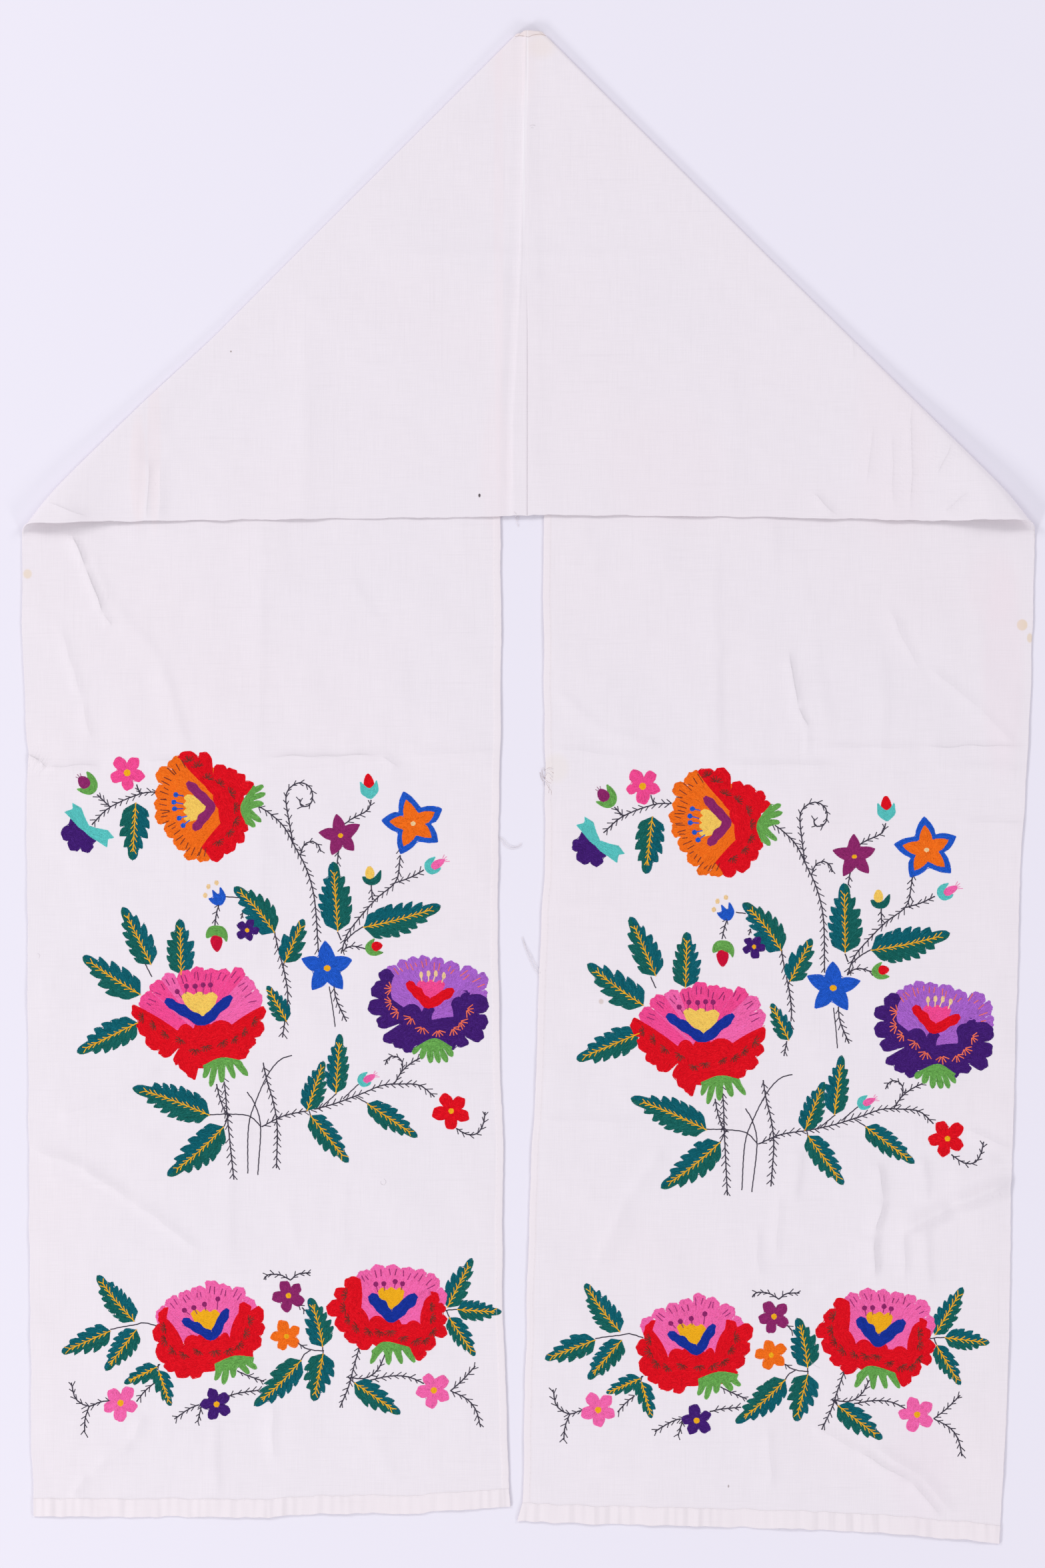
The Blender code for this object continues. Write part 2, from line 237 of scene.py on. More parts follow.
def leg_relief(x, y):
    """How far the cloth of a leg stands off the ground, in metres, at chart points."""
    z = REST_GAP / MM + SWELL(x, y) + RIPPLE(x, y) + GRAIN(x, y)
    under = smooth((y - 700) / 90)
    z = z * (0.35 + 0.65 * under) + crease_sum(CREASES, x, y) * smooth((y - 770) / 25)
    return np.maximum(z, 0.03) * MM


def edge_x(name, y):
    """X of a selvedge in chart units, with the slight wander of hand-cut cloth."""
    table = sorted(EDGES[name])
    ys, xs = [r[0] for r in table], [r[1] for r in table]
    fine = np.arange(30, 2330, 3.0)
    line = np.interp(fine, ys, xs)
    kernel = np.exp(-(np.arange(-6, 7) / 3.0) ** 2)
    line = np.convolve(np.pad(line, 6, mode="edge"), kernel / kernel.sum(), mode="valid")
    seed = list(EDGES).index(name)
    line = line + Field(90, 0.45, 20 + seed)(fine, 0 * fine) + Field(17, 0.16, 30 + seed)(fine, 0 * fine)
    return np.interp(y, fine, line)


def foot_y(side, v):
    xs, ys = [r[0] for r in FOOT[side]], [r[1] for r in FOOT[side]]
    fine = np.linspace(0, 1, 241)
    line = np.interp(fine, xs, ys)
    kernel = np.exp(-(np.arange(-10, 11) / 5.0) ** 2)
    line = np.convolve(np.pad(line, 10, mode="edge"), kernel / kernel.sum(), mode="valid")
    line = line + Field(70, 0.5, 40 + len(side))(fine * 720, 0 * fine) + Field(26, 0.6, 44 + len(side))(fine * 720, 0 * fine)
    return np.interp(v, fine, line)


def fold_at(side, along):
    (ax, ay), (ex, ey) = FOLD_LINE[side]
    a = np.array([wx(ax), wy(ay)])
    e = np.array([wx(ex), wy(ey)])
    rows = np.array(FOLD[side])
    fine = np.linspace(0, 1, 101)
    kernel = np.exp(-(np.arange(-6, 7) / 3.0) ** 2)
    kernel /= kernel.sum()

    def read(i):
        line = np.convolve(np.pad(np.interp(fine, rows[:, 0], rows[:, i]), 6, mode="edge"), kernel, mode="valid")
        return np.interp(along, fine, line) * MM

    bow, radius = read(1), read(2)
    up = (a - e) / np.linalg.norm(a - e)
    out = np.array([-up[1], up[0]]) if side == "left" else np.array([up[1], -up[0]])
    x = a[0] + along * (e[0] - a[0]) + (bow - radius) * out[0]
    y = a[1] + along * (e[1] - a[1]) + (bow - radius) * out[1]
    return x, y, up, out, radius


def leg_x(side, y, v):
    """World X on a leg at world y."""
    c = cy(y)
    return wx(edge_x(side + "_inner", c) * (1 - v) + edge_x(side + "_outer", c) * v)


# Puckers of the foot hems: x, height in mm, half width in units.
PUCKERS = {
    "left": [(72, 0.34, 3.2), (79, 0.20, 3), (97, 0.14, 4), (123, 0.34, 3.2), (134, 0.16, 4), (150, 0.36, 3.4), (168, 0.18, 4),
             (180, 0.30, 3.4), (206, 0.26, 3.6), (217, 0.30, 3), (233, 0.26, 4), (254, 0.26, 4), (266, 0.24, 3), (276, 0.20, 3),
             (298, 0.12, 5), (318, 0.46, 3), (333, 0.20, 3.4), (347, 0.26, 3), (359, 0.22, 4), (384, 0.16, 4), (402, 0.24, 3.4),
             (428, 0.16, 5), (449, 0.22, 4), (470, 0.14, 4), (497, 0.26, 3.6), (520, 0.18, 4), (541, 0.22, 3.4), (569, 0.14, 5),
             (588, 0.24, 3.6), (611, 0.26, 3.4), (640, 0.16, 4), (662, 0.22, 4), (684, 0.18, 4), (708, 0.24, 3.6), (732, 0.18, 4)],
    "right": [(800, 0.16, 4), (822, 0.22, 4), (849, 0.14, 5), (876, 0.20, 4), (902, 0.24, 3.6), (931, 0.16, 5), (960, 0.18, 4),
              (993, 0.14, 5), (1021, 0.22, 4), (1052, 0.16, 4), (1081, 0.20, 4), (1110, 0.16, 4), (1138, 0.18, 4), (1166, 0.22, 3.4),
              (1207, 0.18, 4), (1226, 0.20, 4), (1249, 0.36, 3.4), (1265, 0.24, 3.4), (1293, 0.46, 3.2), (1338, 0.32, 3.4),
              (1351, 0.30, 3.2), (1366, 0.22, 3.4), (1380, 0.36, 3.4), (1393, 0.24, 3), (1408, 0.24, 3.4), (1423, 0.34, 3.2),
              (1434, 0.26, 3), (1446, 0.26, 3.2), (1478, 0.26, 3.6), (1492, 0.16, 4)],
}


def puckers(side, x):
    z = np.zeros(np.shape(x))
    for at, height, half in PUCKERS[side]:
        d = x - at
        z += height * np.exp(-(np.abs(d) / (half * np.where(d < 0, 1.3, 2.3))) ** 1.6)
    return z


def thickness_extra(side, x, y, v, from_foot):
    """Hems, in metres: two turns at the foot, puckered by its stitching, and a narrow one along the inner selvedge."""
    inside = 1 - smooth((from_foot - HEM_DEEP * UNIT + 0.9 * MM) / (1.5 * MM))
    hem = (0.44 + puckers(side, cx(x)) * smooth(from_foot / (2.5 * MM)) * 1.1) * inside * MM
    hem = hem * (0.25 + 0.75 * smooth(from_foot / (1.0 * MM)))
    width = 384 * MM
    inner = 0.26 * (1 - smooth((v * width - 4.9 * MM) / (0.9 * MM))) * MM * (0.4 + 0.6 * smooth(v * width / (0.8 * MM)))
    return hem + inner * (1 - 0.5 * (hem > 0.1 * MM))


SURFACE = {}


def build_sheet(side):
    """One length of cotton as a closed sheet: rows of points from the foot, up the leg, round the fold and back
    to the centre seam. Face A is the right side and face B the wrong side, which shows on the roof."""
    width = 384.0
    v = np.concatenate([
        np.array([0, 0.35, 1.1, 2.6, 4.5, 5.0, 5.6]) / width,
        np.linspace(8.0 / width, 1 - 3.2 / width, 142),
        1 - np.array([1.5, 0.5, 0]) / width,
    ])
    if len(v) % 2 == 0:
        v = np.insert(v, 7, 6.6 / width)
    cols = len(v)
    # Where each column meets the fold.
    along = v.copy()
    (ax, _), (ex, _) = FOLD_LINE[side]
    span = (ex - ax) * UNIT
    for _ in range(12):
        fx, fy, up, out, radius = fold_at(side, along)
        along = along + (leg_x(side, fy, v) - fx) / span
    fx, fy, up, out, radius = fold_at(side, along)
    foot = wy(foot_y(side, v))
    hem_rows = np.array([0, 0.3, 1.0, 2.6, 5.5, 9.0, 12.2, 13.7, 14.3, 15.0, 16.2]) * MM
    split = np.minimum(wy(775.0), fy - 7 * MM)
    start = foot + hem_rows[-1]
    LEG, HID, ARC, ROOF = 280, 12, 12, 118
    ys = [foot + h for h in hem_rows]
    ys += [start + (split - start) * (i + 1) / LEG for i in range(LEG)]
    ys += [split + (fy - split) * (i + 1) / HID for i in range(HID)]
    A, B, tint = [], [], []
    for y in ys:
        x = leg_x(side, y, v)
        rise = leg_relief(cx(x), cy(y)) * smooth((fy - y) / (22 * MM))
        rise = rise * (0.42 + 0.58 * smooth(np.minimum(v, 1 - v) * width / 15.0))  # selvedges lie flat
        extra = thickness_extra(side, x, y, v, y - foot)
        B.append(np.stack([x, y, rise], 1))
        A.append(np.stack([x, y, rise + CLOTH + extra], 1))
        tint.append(np.maximum(1.0 * (y - foot < HEM_DEEP * UNIT), 0.75 * (v * width < 6.0)))
    leg_rows = len(ys)
    SURFACE[side] = (v, start, split, hem_rows, LEG, np.array(A)[:len(hem_rows) + LEG, :, 2])
    for i in range(1, ARC + 1):
        a = math.pi * i / ARC
        x = fx + up[0] * radius * a + out[0] * radius * math.sin(a)
        y = fy + up[1] * radius * a + out[1] * radius * math.sin(a)
        z = radius * (1 - math.cos(a))
        B.append(np.stack([x, y, z], 1))
        A.append(np.stack([x - CLOTH * math.sin(a) * out[0], y - CLOTH * math.sin(a) * out[1], z + CLOTH * math.cos(a)], 1))
    x0, y0, z0 = B[-1].T
    eaves_x = np.array([r[0] for r in EAVES])
    eaves_y = np.array([r[1] for r in EAVES], float)

    def grain(x):
        c = cx(x)
        low = np.interp(c, eaves_x, eaves_y) + Field(60, 0.5, 50)(c, 0 * c) + Field(19, 0.25, 51)(c, 0 * c)
        top = RIDGE_Y + Field(30, 0.6, 52)(c, 0 * c)
        return wy(top + v * (low - top))

    seam = np.array(SEAM)
    end_y = cy(grain(np.full(cols, wx(790.0))))
    end_x = wx(np.interp(end_y, seam[:, 0], seam[:, 1 if side == "left" else 2]))
    run = end_x - x0
    # Rows bunch up towards the seam, where the lap climbs.
    t_free = np.linspace(0, 1, ROOF - 21)[1:]
    lap_from = wx(np.interp(end_y, [r[0] for r in LAP], [r[1] for r in LAP]) - 10)
    share = np.clip(1 - np.abs((end_x - lap_from) / run), 0.35, 0.97)
    ts = [t_free[i] * share for i in range(len(t_free))]
    ts += [share + (1 - share) * (i + 1) / 22 for i in range(22)]
    grain0 = grain(x0)
    lap = np.array(LAP)
    for t in ts:
        x = x0 + t * run
        y = grain(x) + (y0 - grain0) * (1 - t) ** 2
        gone = np.abs(x - x0)
        calm = smooth(gone / (26 * MM))
        c, r = cx(x), cy(y)
        relief = (ROOF_SWELL(c, r) + ROOF_RIPPLE(c, r) + GRAIN(c, r) + crease_sum(ROOF_CREASES, c, r)) * MM
        lift = 0.0
        for e0, e1, high in EAVES_LIFTS:
            mid, half = (e0 + e1) / 2, (e1 - e0) / 2
            lift = lift + high * np.exp(-(((c - mid) / (half * 0.75)) ** 2)) * np.exp(-((1 - v) * width / (9.0 + 3 * high)))
        z = ROOF_Z + (z0 - ROOF_Z) * np.exp(-((gone / (46 * MM)) ** 1.4)) + np.maximum(relief, -0.45 * MM) * calm + lift * MM
        if side == "left":
            lx = wx(np.interp(r, lap[:, 0], lap[:, 1]))
            # The left length climbs on to the right one; its own edge is turned under and stands a little proud,
            # less so towards the top.
            upper = smooth((560.0 - r) / 200.0)
            climb = smooth((x - lx + 2.0 * MM) / ((2.6 - 0.9 * upper) * MM))
            dip = -(0.50 - 0.28 * upper) * MM * np.exp(-(((x - lx + 5.0 * MM) / (3.0 * MM)) ** 2))
            edge = -0.35 * MM * smooth((x - end_x + 0.9 * MM) / (0.9 * MM))
            edge = edge + upper * 0.30 * MM * np.exp(-(((x - lx - 0.6 * MM) / (0.8 * MM)) ** 2))
            z = z + climb * (CLOTH + (0.40 - 0.12 * upper) * MM) + dip + edge
        else:
            # What is seen beside that edge is the turned-in end of the right length.
            upper = smooth((560.0 - r) / 200.0)
            strip = 1 - smooth((x - wx(799.0)) / (0.8 * MM))
            z = z + strip * (1 - upper) * 0.30 * MM
            z = z + upper * 0.92 * MM * np.exp(-(((x - wx(789.0)) / (8.0 * MM)) ** 2))
            low = smooth((wx(790.0) - x) / (4 * MM))
            z = z * (1 - low) + (ROOF_Z - 0.25 * MM) * low
        z = np.minimum(z, np.maximum(z0, 6.0 * MM))
        B.append(np.stack([x, y, z], 1))
        A.append(np.stack([x, y, z - CLOTH], 1))
    tint += [np.zeros(cols)] * (len(A) - leg_rows)
    A, B, tint = np.array(A), np.array(B), np.array(tint)
    if len(A) % 2 == 0:  # an even number of cells along
        A, B, tint = np.delete(A, leg_rows - 6, 0), np.delete(B, leg_rows - 6, 0), np.delete(tint, leg_rows - 6, 0)
        leg_rows -= 1
    rows = len(A)
    n = rows * cols
    verts = np.concatenate([A.reshape(-1, 3), B.reshape(-1, 3)])
    visible = len(hem_rows) + LEG  # rows of face A that show
    faces = []
    fine_a = [[(2 * i < visible + 6) for _ in range(cols // 2)] for i in range(rows // 2)]
    fine_b = [[(2 * i > leg_rows - 4) for _ in range(cols // 2)] for i in range(rows // 2)]
    flip = side == "right"

    def cover(fine, base, turned):
        for bi in range(rows // 2):
            for bj in range(cols // 2):
                i, j = 2 * bi, 2 * bj

                def at(p, q):
                    return base + p * cols + q

                if fine[bi][bj]:
                    for p in (i, i + 1):
                        for q in (j, j + 1):
                            f = [at(p, q), at(p, q + 1), at(p + 1, q + 1), at(p + 1, q)]
                            faces.append(f if not turned else f[::-1])
                    continue
                south = bi == 0 or fine[bi - 1][bj]
                north = bi == rows // 2 - 1 or fine[bi + 1][bj]
                f = [at(i, j)] + ([at(i, j + 1)] if south else []) + [at(i, j + 2)]
                f += [at(i + 1, j + 2)] if bj == cols // 2 - 1 else []
                f += [at(i + 2, j + 2)] + ([at(i + 2, j + 1)] if north else []) + [at(i + 2, j)]
                f += [at(i + 1, j)] if bj == 0 else []
                faces.append(f if not turned else f[::-1])

    cover(fine_a, 0, not flip)
    cover(fine_b, n, flip)
    for j in range(cols - 1):  # the two cut ends
        a, b = j, j + 1
        f = [a, b, n + b, n + a]
        faces.append(f[::-1] if flip else f)
        a, b = (rows - 1) * cols + j, (rows - 1) * cols + j + 1
        f = [a, n + a, n + b, b]
        faces.append(f[::-1] if flip else f)
    for i in range(rows - 1):  # the two selvedges
        a, b = i * cols, (i + 1) * cols
        f = [a, n + a, n + b, b]
        faces.append(f[::-1] if flip else f)
        a, b = i * cols + cols - 1, (i + 1) * cols + cols - 1
        f = [a, b, n + b, n + a]
        faces.append(f[::-1] if flip else f)
    mesh = bpy.data.meshes.new("cotton_" + side)
    mesh.from_pydata(verts.tolist(), [], faces)
    layer = mesh.attributes.new("hem", "FLOAT", "POINT")
    layer.data.foreach_set("value", np.concatenate([tint.ravel(), tint.ravel()]).astype(np.float32))
    charted = cx(verts[:, 0]), cy(verts[:, 1])
    leg = np.tile(np.repeat(np.arange(rows) < leg_rows, cols), 2)
    for k, (on_leg, on_roof) in enumerate(zip(fold_layers(CREASES, *charted), fold_layers(ROOF_CREASES, *charted))):
        layer = mesh.attributes.new("fold_%d" % k, "FLOAT_VECTOR", "POINT")
        layer.data.foreach_set("vector", np.where(leg, on_leg, on_roof).T.astype(np.float32).ravel())
    piece = bpy.data.objects.new("cotton_" + side, mesh)
    bpy.context.scene.collection.objects.link(piece)
    bm = bmesh.new()
    bm.from_mesh(mesh)
    bmesh.ops.recalc_face_normals(bm, faces=bm.faces)
    if bm.calc_volume(signed=True) < 0:
        bmesh.ops.reverse_faces(bm, faces=bm.faces)
    bm.to_mesh(mesh)
    bm.free()
    mesh.shade_smooth()
    return piece




# ---- needlework: the engine -----------------------------------------------------------------------------
CELL = 1.75  # raster cells to one chart unit
STITCH_WIDE, STITCH_HIGH = 0.74, 0.32  # mm
THREADS = {  # thread colours, sRGB: mid, and how far its strands go darker and lighter
    "red": ((234, 2, 26), 0.30), "crimson": ((212, 4, 54), 0.2), "orange": ((255, 116, 20), 0.30),
    "pink": ((255, 78, 152), 0.30), "rose": ((255, 108, 178), 0.28), "gold": ((255, 210, 98), 0.20),
    "amber": ((250, 182, 24), 0.18), "blue": ((14, 50, 158), 0.3), "azure": ((28, 92, 205), 0.38),
    "plum": ((68, 25, 118), 0.38), "violet": ((176, 104, 208), 0.32), "green": ((108, 174, 82), 0.42),
    "teal": ((0, 100, 112), 0.42), "sea": ((14, 102, 94), 0.42), "aqua": ((92, 202, 196), 0.24),
    "burgundy": ((148, 38, 108), 0.26), "slate": ((64, 59, 72), 0.30), "umber": ((112, 50, 42), 0.30),
    "coral": ((255, 118, 78), 0.18), "cream": ((248, 212, 156), 0.14),
}


def catmull(points, closed=False, step=2.0):
    """A smooth line through points, with a point about every `step` units."""
    p = [np.array(q, float) for q in points]
    if len(p) < 3 and not closed:
        a, b = p
        n = max(2, int(np.linalg.norm(b - a) / step))
        return [tuple(a + (b - a) * i / n) for i in range(n + 1)]
    if closed:
        p = [p[-1]] + p + [p[0], p[1]]
    else:
        p = [2 * p[0] - p[1]] + p + [2 * p[-1] - p[-2]]
    out = []
    for a, b, c, d in zip(p, p[1:], p[2:], p[3:]):
        n = max(1, int(round(np.linalg.norm(c - b) / step)))
        for i in range(n):
            t = i / n
            out.append(tuple(0.5 * (2 * b + (c - a) * t + (2 * a - 5 * b + 4 * c - d) * t * t + (3 * b - a - 3 * c + d) * t ** 3)))
    if not closed:
        out.append(tuple(p[-2]))
    return out


class Needlework:
    """All the stitches of one leg. Regions are laid one over another on a raster of labels; each label that
    still shows is then filled with rows of short stitches, and lines are worked over them."""

    def __init__(self, side, place, left, top, wide, high):
        self.side, self.place = side, place
        self.left, self.top = left, top
        self.w, self.h = int(wide * CELL), int(high * CELL)
        self.label = np.zeros((self.h, self.w), np.int16)
        self.regions = [None]
        self.lines = []
        self.stitches = {}
        self.shift = (0.0, 0.0)
        self.name = ""
        self.rng = random.Random(side)

    # -- placing
    def begin(self, name, offsets):
        self.name = name
        self.rng = random.Random(self.side + name)
        self.shift = offsets.get(name, (0.0, 0.0)) if self.side == "right" else (0.0, 0.0)
        return self.rng

    def put(self, points):
        out = []
        for x, y in points:
            px, py = self.place(x, y)
            out.append((px + self.shift[0], py + self.shift[1]))
        return out

    def region(self, points, colour, mode="contour", via=(), tone=0.0, outline=True):
        """points: a closed outline on the chart. mode: contour, radial (via = centre), axis (via = two points)."""
        poly = np.array(self.put(points))
        self.regions.append({"poly": poly, "colour": colour, "mode": mode, "via": self.put(via), "tone": tone,
                             "outline": outline, "seed": self.rng.random()})
        self.paint(poly, len(self.regions) - 1)

    def paint(self, poly, number):
        q = (poly - (self.left, self.top)) * CELL
        x0, y0 = q[:, 0], q[:, 1]
        x1, y1 = np.roll(x0, -1), np.roll(y0, -1)
        low, high = max(0, int(y0.min()) - 1), min(self.h - 1, int(y0.max()) + 1)
        for j in range(low, high + 1):
            yc = j + 0.5
            hit = (y0 <= yc) != (y1 <= yc)
            if not hit.any():
                continue
            xs = np.sort(x0[hit] + (yc - y0[hit]) * (x1[hit] - x0[hit]) / (y1[hit] - y0[hit]))
            for a, b in zip(xs[::2], xs[1::2]):
                i0, i1 = max(0, int(round(a))), min(self.w, int(round(b)))
                if i1 > i0:
                    self.label[j, i0:i1] = number

    # -- stitches
    def stitch(self, colour, x0, y0, x1, y1, wide=STITCH_WIDE, high=STITCH_HIGH, lift=0.0, tone=None):
        """One stitch between two chart points."""
        if tone is None:
            tone = self.rng.gauss(0.5, 0.17)
        self.stitches.setdefault(colour, []).append((x0, y0, x1, y1, wide, high, lift, min(1.0, max(0.0, tone))))

    def label_at(self, x, y):
        i, j = int((x - self.left) * CELL), int((y - self.top) * CELL)
        if 0 <= i < self.w and 0 <= j < self.h:
            return int(self.label[j, i])
        return 0

    def run(self, points, colour, wide=1.38, length=5.2, over=False, sway=0.12, closed=False, high=0.34):
        """A line of stem stitch along a smooth line through points."""
        line = catmull(self.put(points), closed, 1.0)
        self.lines.append(("run", line, colour, wide, length, over, sway, high, self.rng.random()))
        return line

    def feather(self, points, colour="slate", wide=1.38, tick=9.6, every=10.5, spread=37, tick_wide=1.0, over=False,
                skip=0.0, length=5.0):
        """A line of feather stitch: stem stitch with a pair of slanting stitches every few millimetres, open
        towards the far end."""
        line = self.run(points, colour, wide, length, over)
        self.lines.append(("ticks", line, colour, tick_wide, tick, every, spread, over, skip, self.rng.random()))

    def stroke(self, a, b, colour, wide=0.62, tone=None, on=None):
        """One straight stitch; with `on`, only where the ground under it shows one of those colours."""
        (x0, y0), (x1, y1) = self.put([a, b])
        self.lines.append(("stroke", x0, y0, x1, y1, colour, wide, tone, on))

    def work_lines(self):
        for item in self.lines:
            if item[0] == "run":
                _, line, colour, wide, length, over, sway, high, seed = item
                rng = random.Random(seed)
                pts = np.array(line)
                gaps = np.hypot(*np.diff(pts, axis=0).T)
                along = np.concatenate([[0], np.cumsum(gaps)])
                total, s, k = along[-1], 0.0, 0
                while s < total - 0.6:
                    e = min(total, s + length * rng.uniform(0.85, 1.15))
                    a = [np.interp(s, along, pts[:, c]) for c in (0, 1)]
                    b = [np.interp(e, along, pts[:, c]) for c in (0, 1)]
                    mid = self.label_at((a[0] + b[0]) / 2, (a[1] + b[1]) / 2)
                    if over or not mid:
                        dx, dy = b[0] - a[0], b[1] - a[1]
                        n = math.hypot(dx, dy) or 1.0
                        off = sway * (1 if k % 2 else -1) / UMM
                        ox, oy = -dy / n * off, dx / n * off
                        self.rng = rng
                        self.stitch(colour, a[0] + ox - dx / n * 0.35, a[1] + oy - dy / n * 0.35, b[0] - ox + dx / n * 0.35,
                                    b[1] - oy + dy / n * 0.35, wide, high, 0.26 if mid else 0.0)
                    s, k = e - 0.3, k + 1
            elif item[0] == "ticks":
                _, line, colour, wide, tick, every, spread, over, skip, seed = item
                rng = self.rng = random.Random(seed)
                pts = np.array(line)
                gaps = np.hypot(*np.diff(pts, axis=0).T)
                along = np.concatenate([[0], np.cumsum(gaps)])
                total = along[-1]
                s = every * rng.uniform(0.25, 0.6) + skip
                hand = 1
                while s < total - 1:
                    for _ in range(2):
                        at = s + rng.uniform(-0.10, 0.10) * every
                        a = [np.interp(at, along, pts[:, c]) for c in (0, 1)]
                        b = [np.interp(min(total, at + 2), along, pts[:, c]) for c in (0, 1)]
                        c0 = [np.interp(max(0, at - 2), along, pts[:, c]) for c in (0, 1)]
                        heading = math.atan2(b[1] - c0[1], b[0] - c0[0])
                        turn = math.radians(spread + rng.uniform(-8, 9)) * hand
                        size = tick * rng.uniform(0.8, 1.15)
                        ex, ey = a[0] + size * math.cos(heading + turn), a[1] + size * math.sin(heading + turn)
                        mid = self.label_at((a[0] + ex) / 2, (a[1] + ey) / 2)
                        if over or not (mid or self.label_at(ex, ey)):
                            self.stitch(colour, a[0], a[1], ex, ey, wide, 0.30, 0.26 if mid else 0.0)
                        hand = -hand
                        s += every * (0.24 if hand < 0 else 0.76)
            else:
                _, x0, y0, x1, y1, colour, wide, tone, on = item
                mid = self.label_at((x0 + x1) / 2, (y0 + y1) / 2)
                if on and not (mid and self.regions[mid]["colour"] in on):
                    continue
                self.stitch(colour, x0, y0, x1, y1, wide, 0.30, 0.24 if mid else 0.0, tone)

    def work_regions(self):
        self.taken = bytearray(self.w * self.h)  # no row starts here
        self.core = bytearray(self.w * self.h)  # no row crosses here
        for number in range(1, len(self.regions)):
            self.fill(number)

    def fill(self, number):
        """Covers what shows of one region with rows of stitches."""
        reg = self.regions[number]
        poly = (reg["poly"] - (self.left, self.top)) * CELL
        i0, j0 = max(0, int(poly[:, 0].min()) - 1), max(0, int(poly[:, 1].min()) - 1)
        i1, j1 = min(self.w, int(poly[:, 0].max()) + 2), min(self.h, int(poly[:, 1].max()) + 2)
        mask = self.label[j0:j1, i0:i1] == number
        if not mask.any():
            return
        rng = self.rng = random.Random(reg["seed"])
        jj, ii = np.nonzero(mask)
        px, py = ii + i0 + 0.5, jj + j0 + 0.5
        # The nearest point of the outline: how far it is, and which way.
        ax, ay = poly[:, 0], poly[:, 1]
        ex, ey = np.roll(ax, -1) - ax, np.roll(ay, -1) - ay
        ll = np.maximum(ex * ex + ey * ey, 1e-9)
        dist = np.full(len(px), 1e9)
        ox, oy = np.zeros(len(px)), np.zeros(len(px))
        for s in range(0, len(ax), 24):
            sl = slice(s, s + 24)
            t = np.clip(((px[:, None] - ax[sl]) * ex[sl] + (py[:, None] - ay[sl]) * ey[sl]) / ll[sl], 0, 1)
            qx, qy = ax[sl] + t * ex[sl] - px[:, None], ay[sl] + t * ey[sl] - py[:, None]
            d = np.hypot(qx, qy)
            k = d.argmin(1)
            rows = np.arange(len(px))
            near = d[rows, k]
            better = near < dist
            dist[better] = near[better]
            ox[better], oy[better] = qx[rows, k][better], qy[rows, k][better]
        h, w = mask.shape
        flat = jj * w + ii
        n = np.maximum(np.hypot(ox, oy), 1e-6)
        ox, oy = ox / n, oy / n  # towards the outline
        # rows round the outline lie one behind another, two cells apart
        level = 1.0 + 2.0 * np.round((dist - 1.0) / 2.0)
        around = level * 1e5 + np.round(np.abs(dist - level) / 0.25) * 1e3 + np.arctan2(py - py.mean(), px - px.mean())
        mode = reg["mode"]
        rim = dist < 2.4
        passes = []
        if mode == "contour":
            passes.append((np.ones(len(px), bool), -oy, ox, around, True))
        else:
            if reg["outline"]:
                passes.append((rim, -oy, ox, around, True))
            if mode == "radial":
                qx, qy = (np.array(reg["via"][0]) - (self.left, self.top)) * CELL
                ux, uy = px - qx, py - qy
                n = np.maximum(np.hypot(ux, uy), 1e-6)
                order = -np.round(n / 16) * 100 + np.arctan2(uy, ux)
                ux, uy = ux / n, uy / n
                sway = 0.16 * np.sin(n / 8.0 + 6 * reg["seed"])
            else:
                (q0, q1), (r0, r1) = reg["via"]
                ux, uy = r0 - q0, r1 - q1
                n = math.hypot(ux, uy)
                ux, uy = np.full(len(px), ux / n), np.full(len(px), uy / n)
                order = px * -uy + py * ux
                sway = 0.16 * np.sin((px + py) / 9.0 + 6 * reg["seed"])
            passes.append((~rim if reg["outline"] else np.ones(len(px), bool), ux * np.cos(sway) - uy * np.sin(sway),
                           uy * np.cos(sway) + ux * np.sin(sway), order, False))
        own = np.zeros(h * w, bool)
        own[flat] = True
        inside = bytearray(own.astype(np.uint8).tobytes())
        taken, core, W = self.taken, self.core, self.w
        cosl, sinl, outx, outy, far = (np.zeros(h * w) for _ in range(5))
        outx[flat], outy[flat], far[flat] = ox, oy, dist
        outx, outy, far = outx.tolist(), outy.tolist(), far.tolist()
        for f in flat[dist < 0.55].tolist():  # too near the outline for a row
            fj, fi = divmod(f, w)
            taken[(fj + j0) * W + fi + i0] = 1
        for allowed, dx_, dy_, order, steer in passes:
            if not allowed.any():
                continue
            cosl[flat], sinl[flat] = dx_, dy_
            cl, sl_ = cosl.tolist(), sinl.tolist()
            for f in flat[allowed][np.argsort(order[allowed], kind="stable")].tolist():
                fj, fi = divmod(f, w)
                if taken[(fj + j0) * W + fi + i0]:
                    continue
                c, s, keep = cl[f], sl_[f], 1.0 + 2.0 * round((far[f] - 1.0) / 2.0)
                arms = []
                for way in (1, -1):
                    x, y = fi + 0.5, fj + 0.5
                    vx, vy = c * way, s * way
                    pts = []
                    for _ in range(700):
                        x += vx
                        y += vy
                        i, j = int(x), int(y)
                        if not (0 <= i < w and 0 <= j < h):
                            break
                        k = j * w + i
                        if not inside[k] or core[(j + j0) * W + i + i0]:
                            break
                        c2, s2 = cl[k], sl_[k]
                        dot = c2 * vx + s2 * vy
                        if dot < 0:
                            c2, s2, dot = -c2, -s2, -dot
                        if dot < 0.35:
                            break
                        if steer:
                            pull = (far[k] - keep) * 0.3
                            pull = max(-0.4, min(0.4, pull))
                            c2 += outx[k] * pull
                            s2 += outy[k] * pull
                        vx, vy = 0.4 * vx + 0.6 * c2, 0.4 * vy + 0.6 * s2
                        m = math.hypot(vx, vy)
                        vx, vy = vx / m, vy / m
                        pts.append((x, y))
                        if len(pts) > 4:
                            px_, py_ = pts[-4]
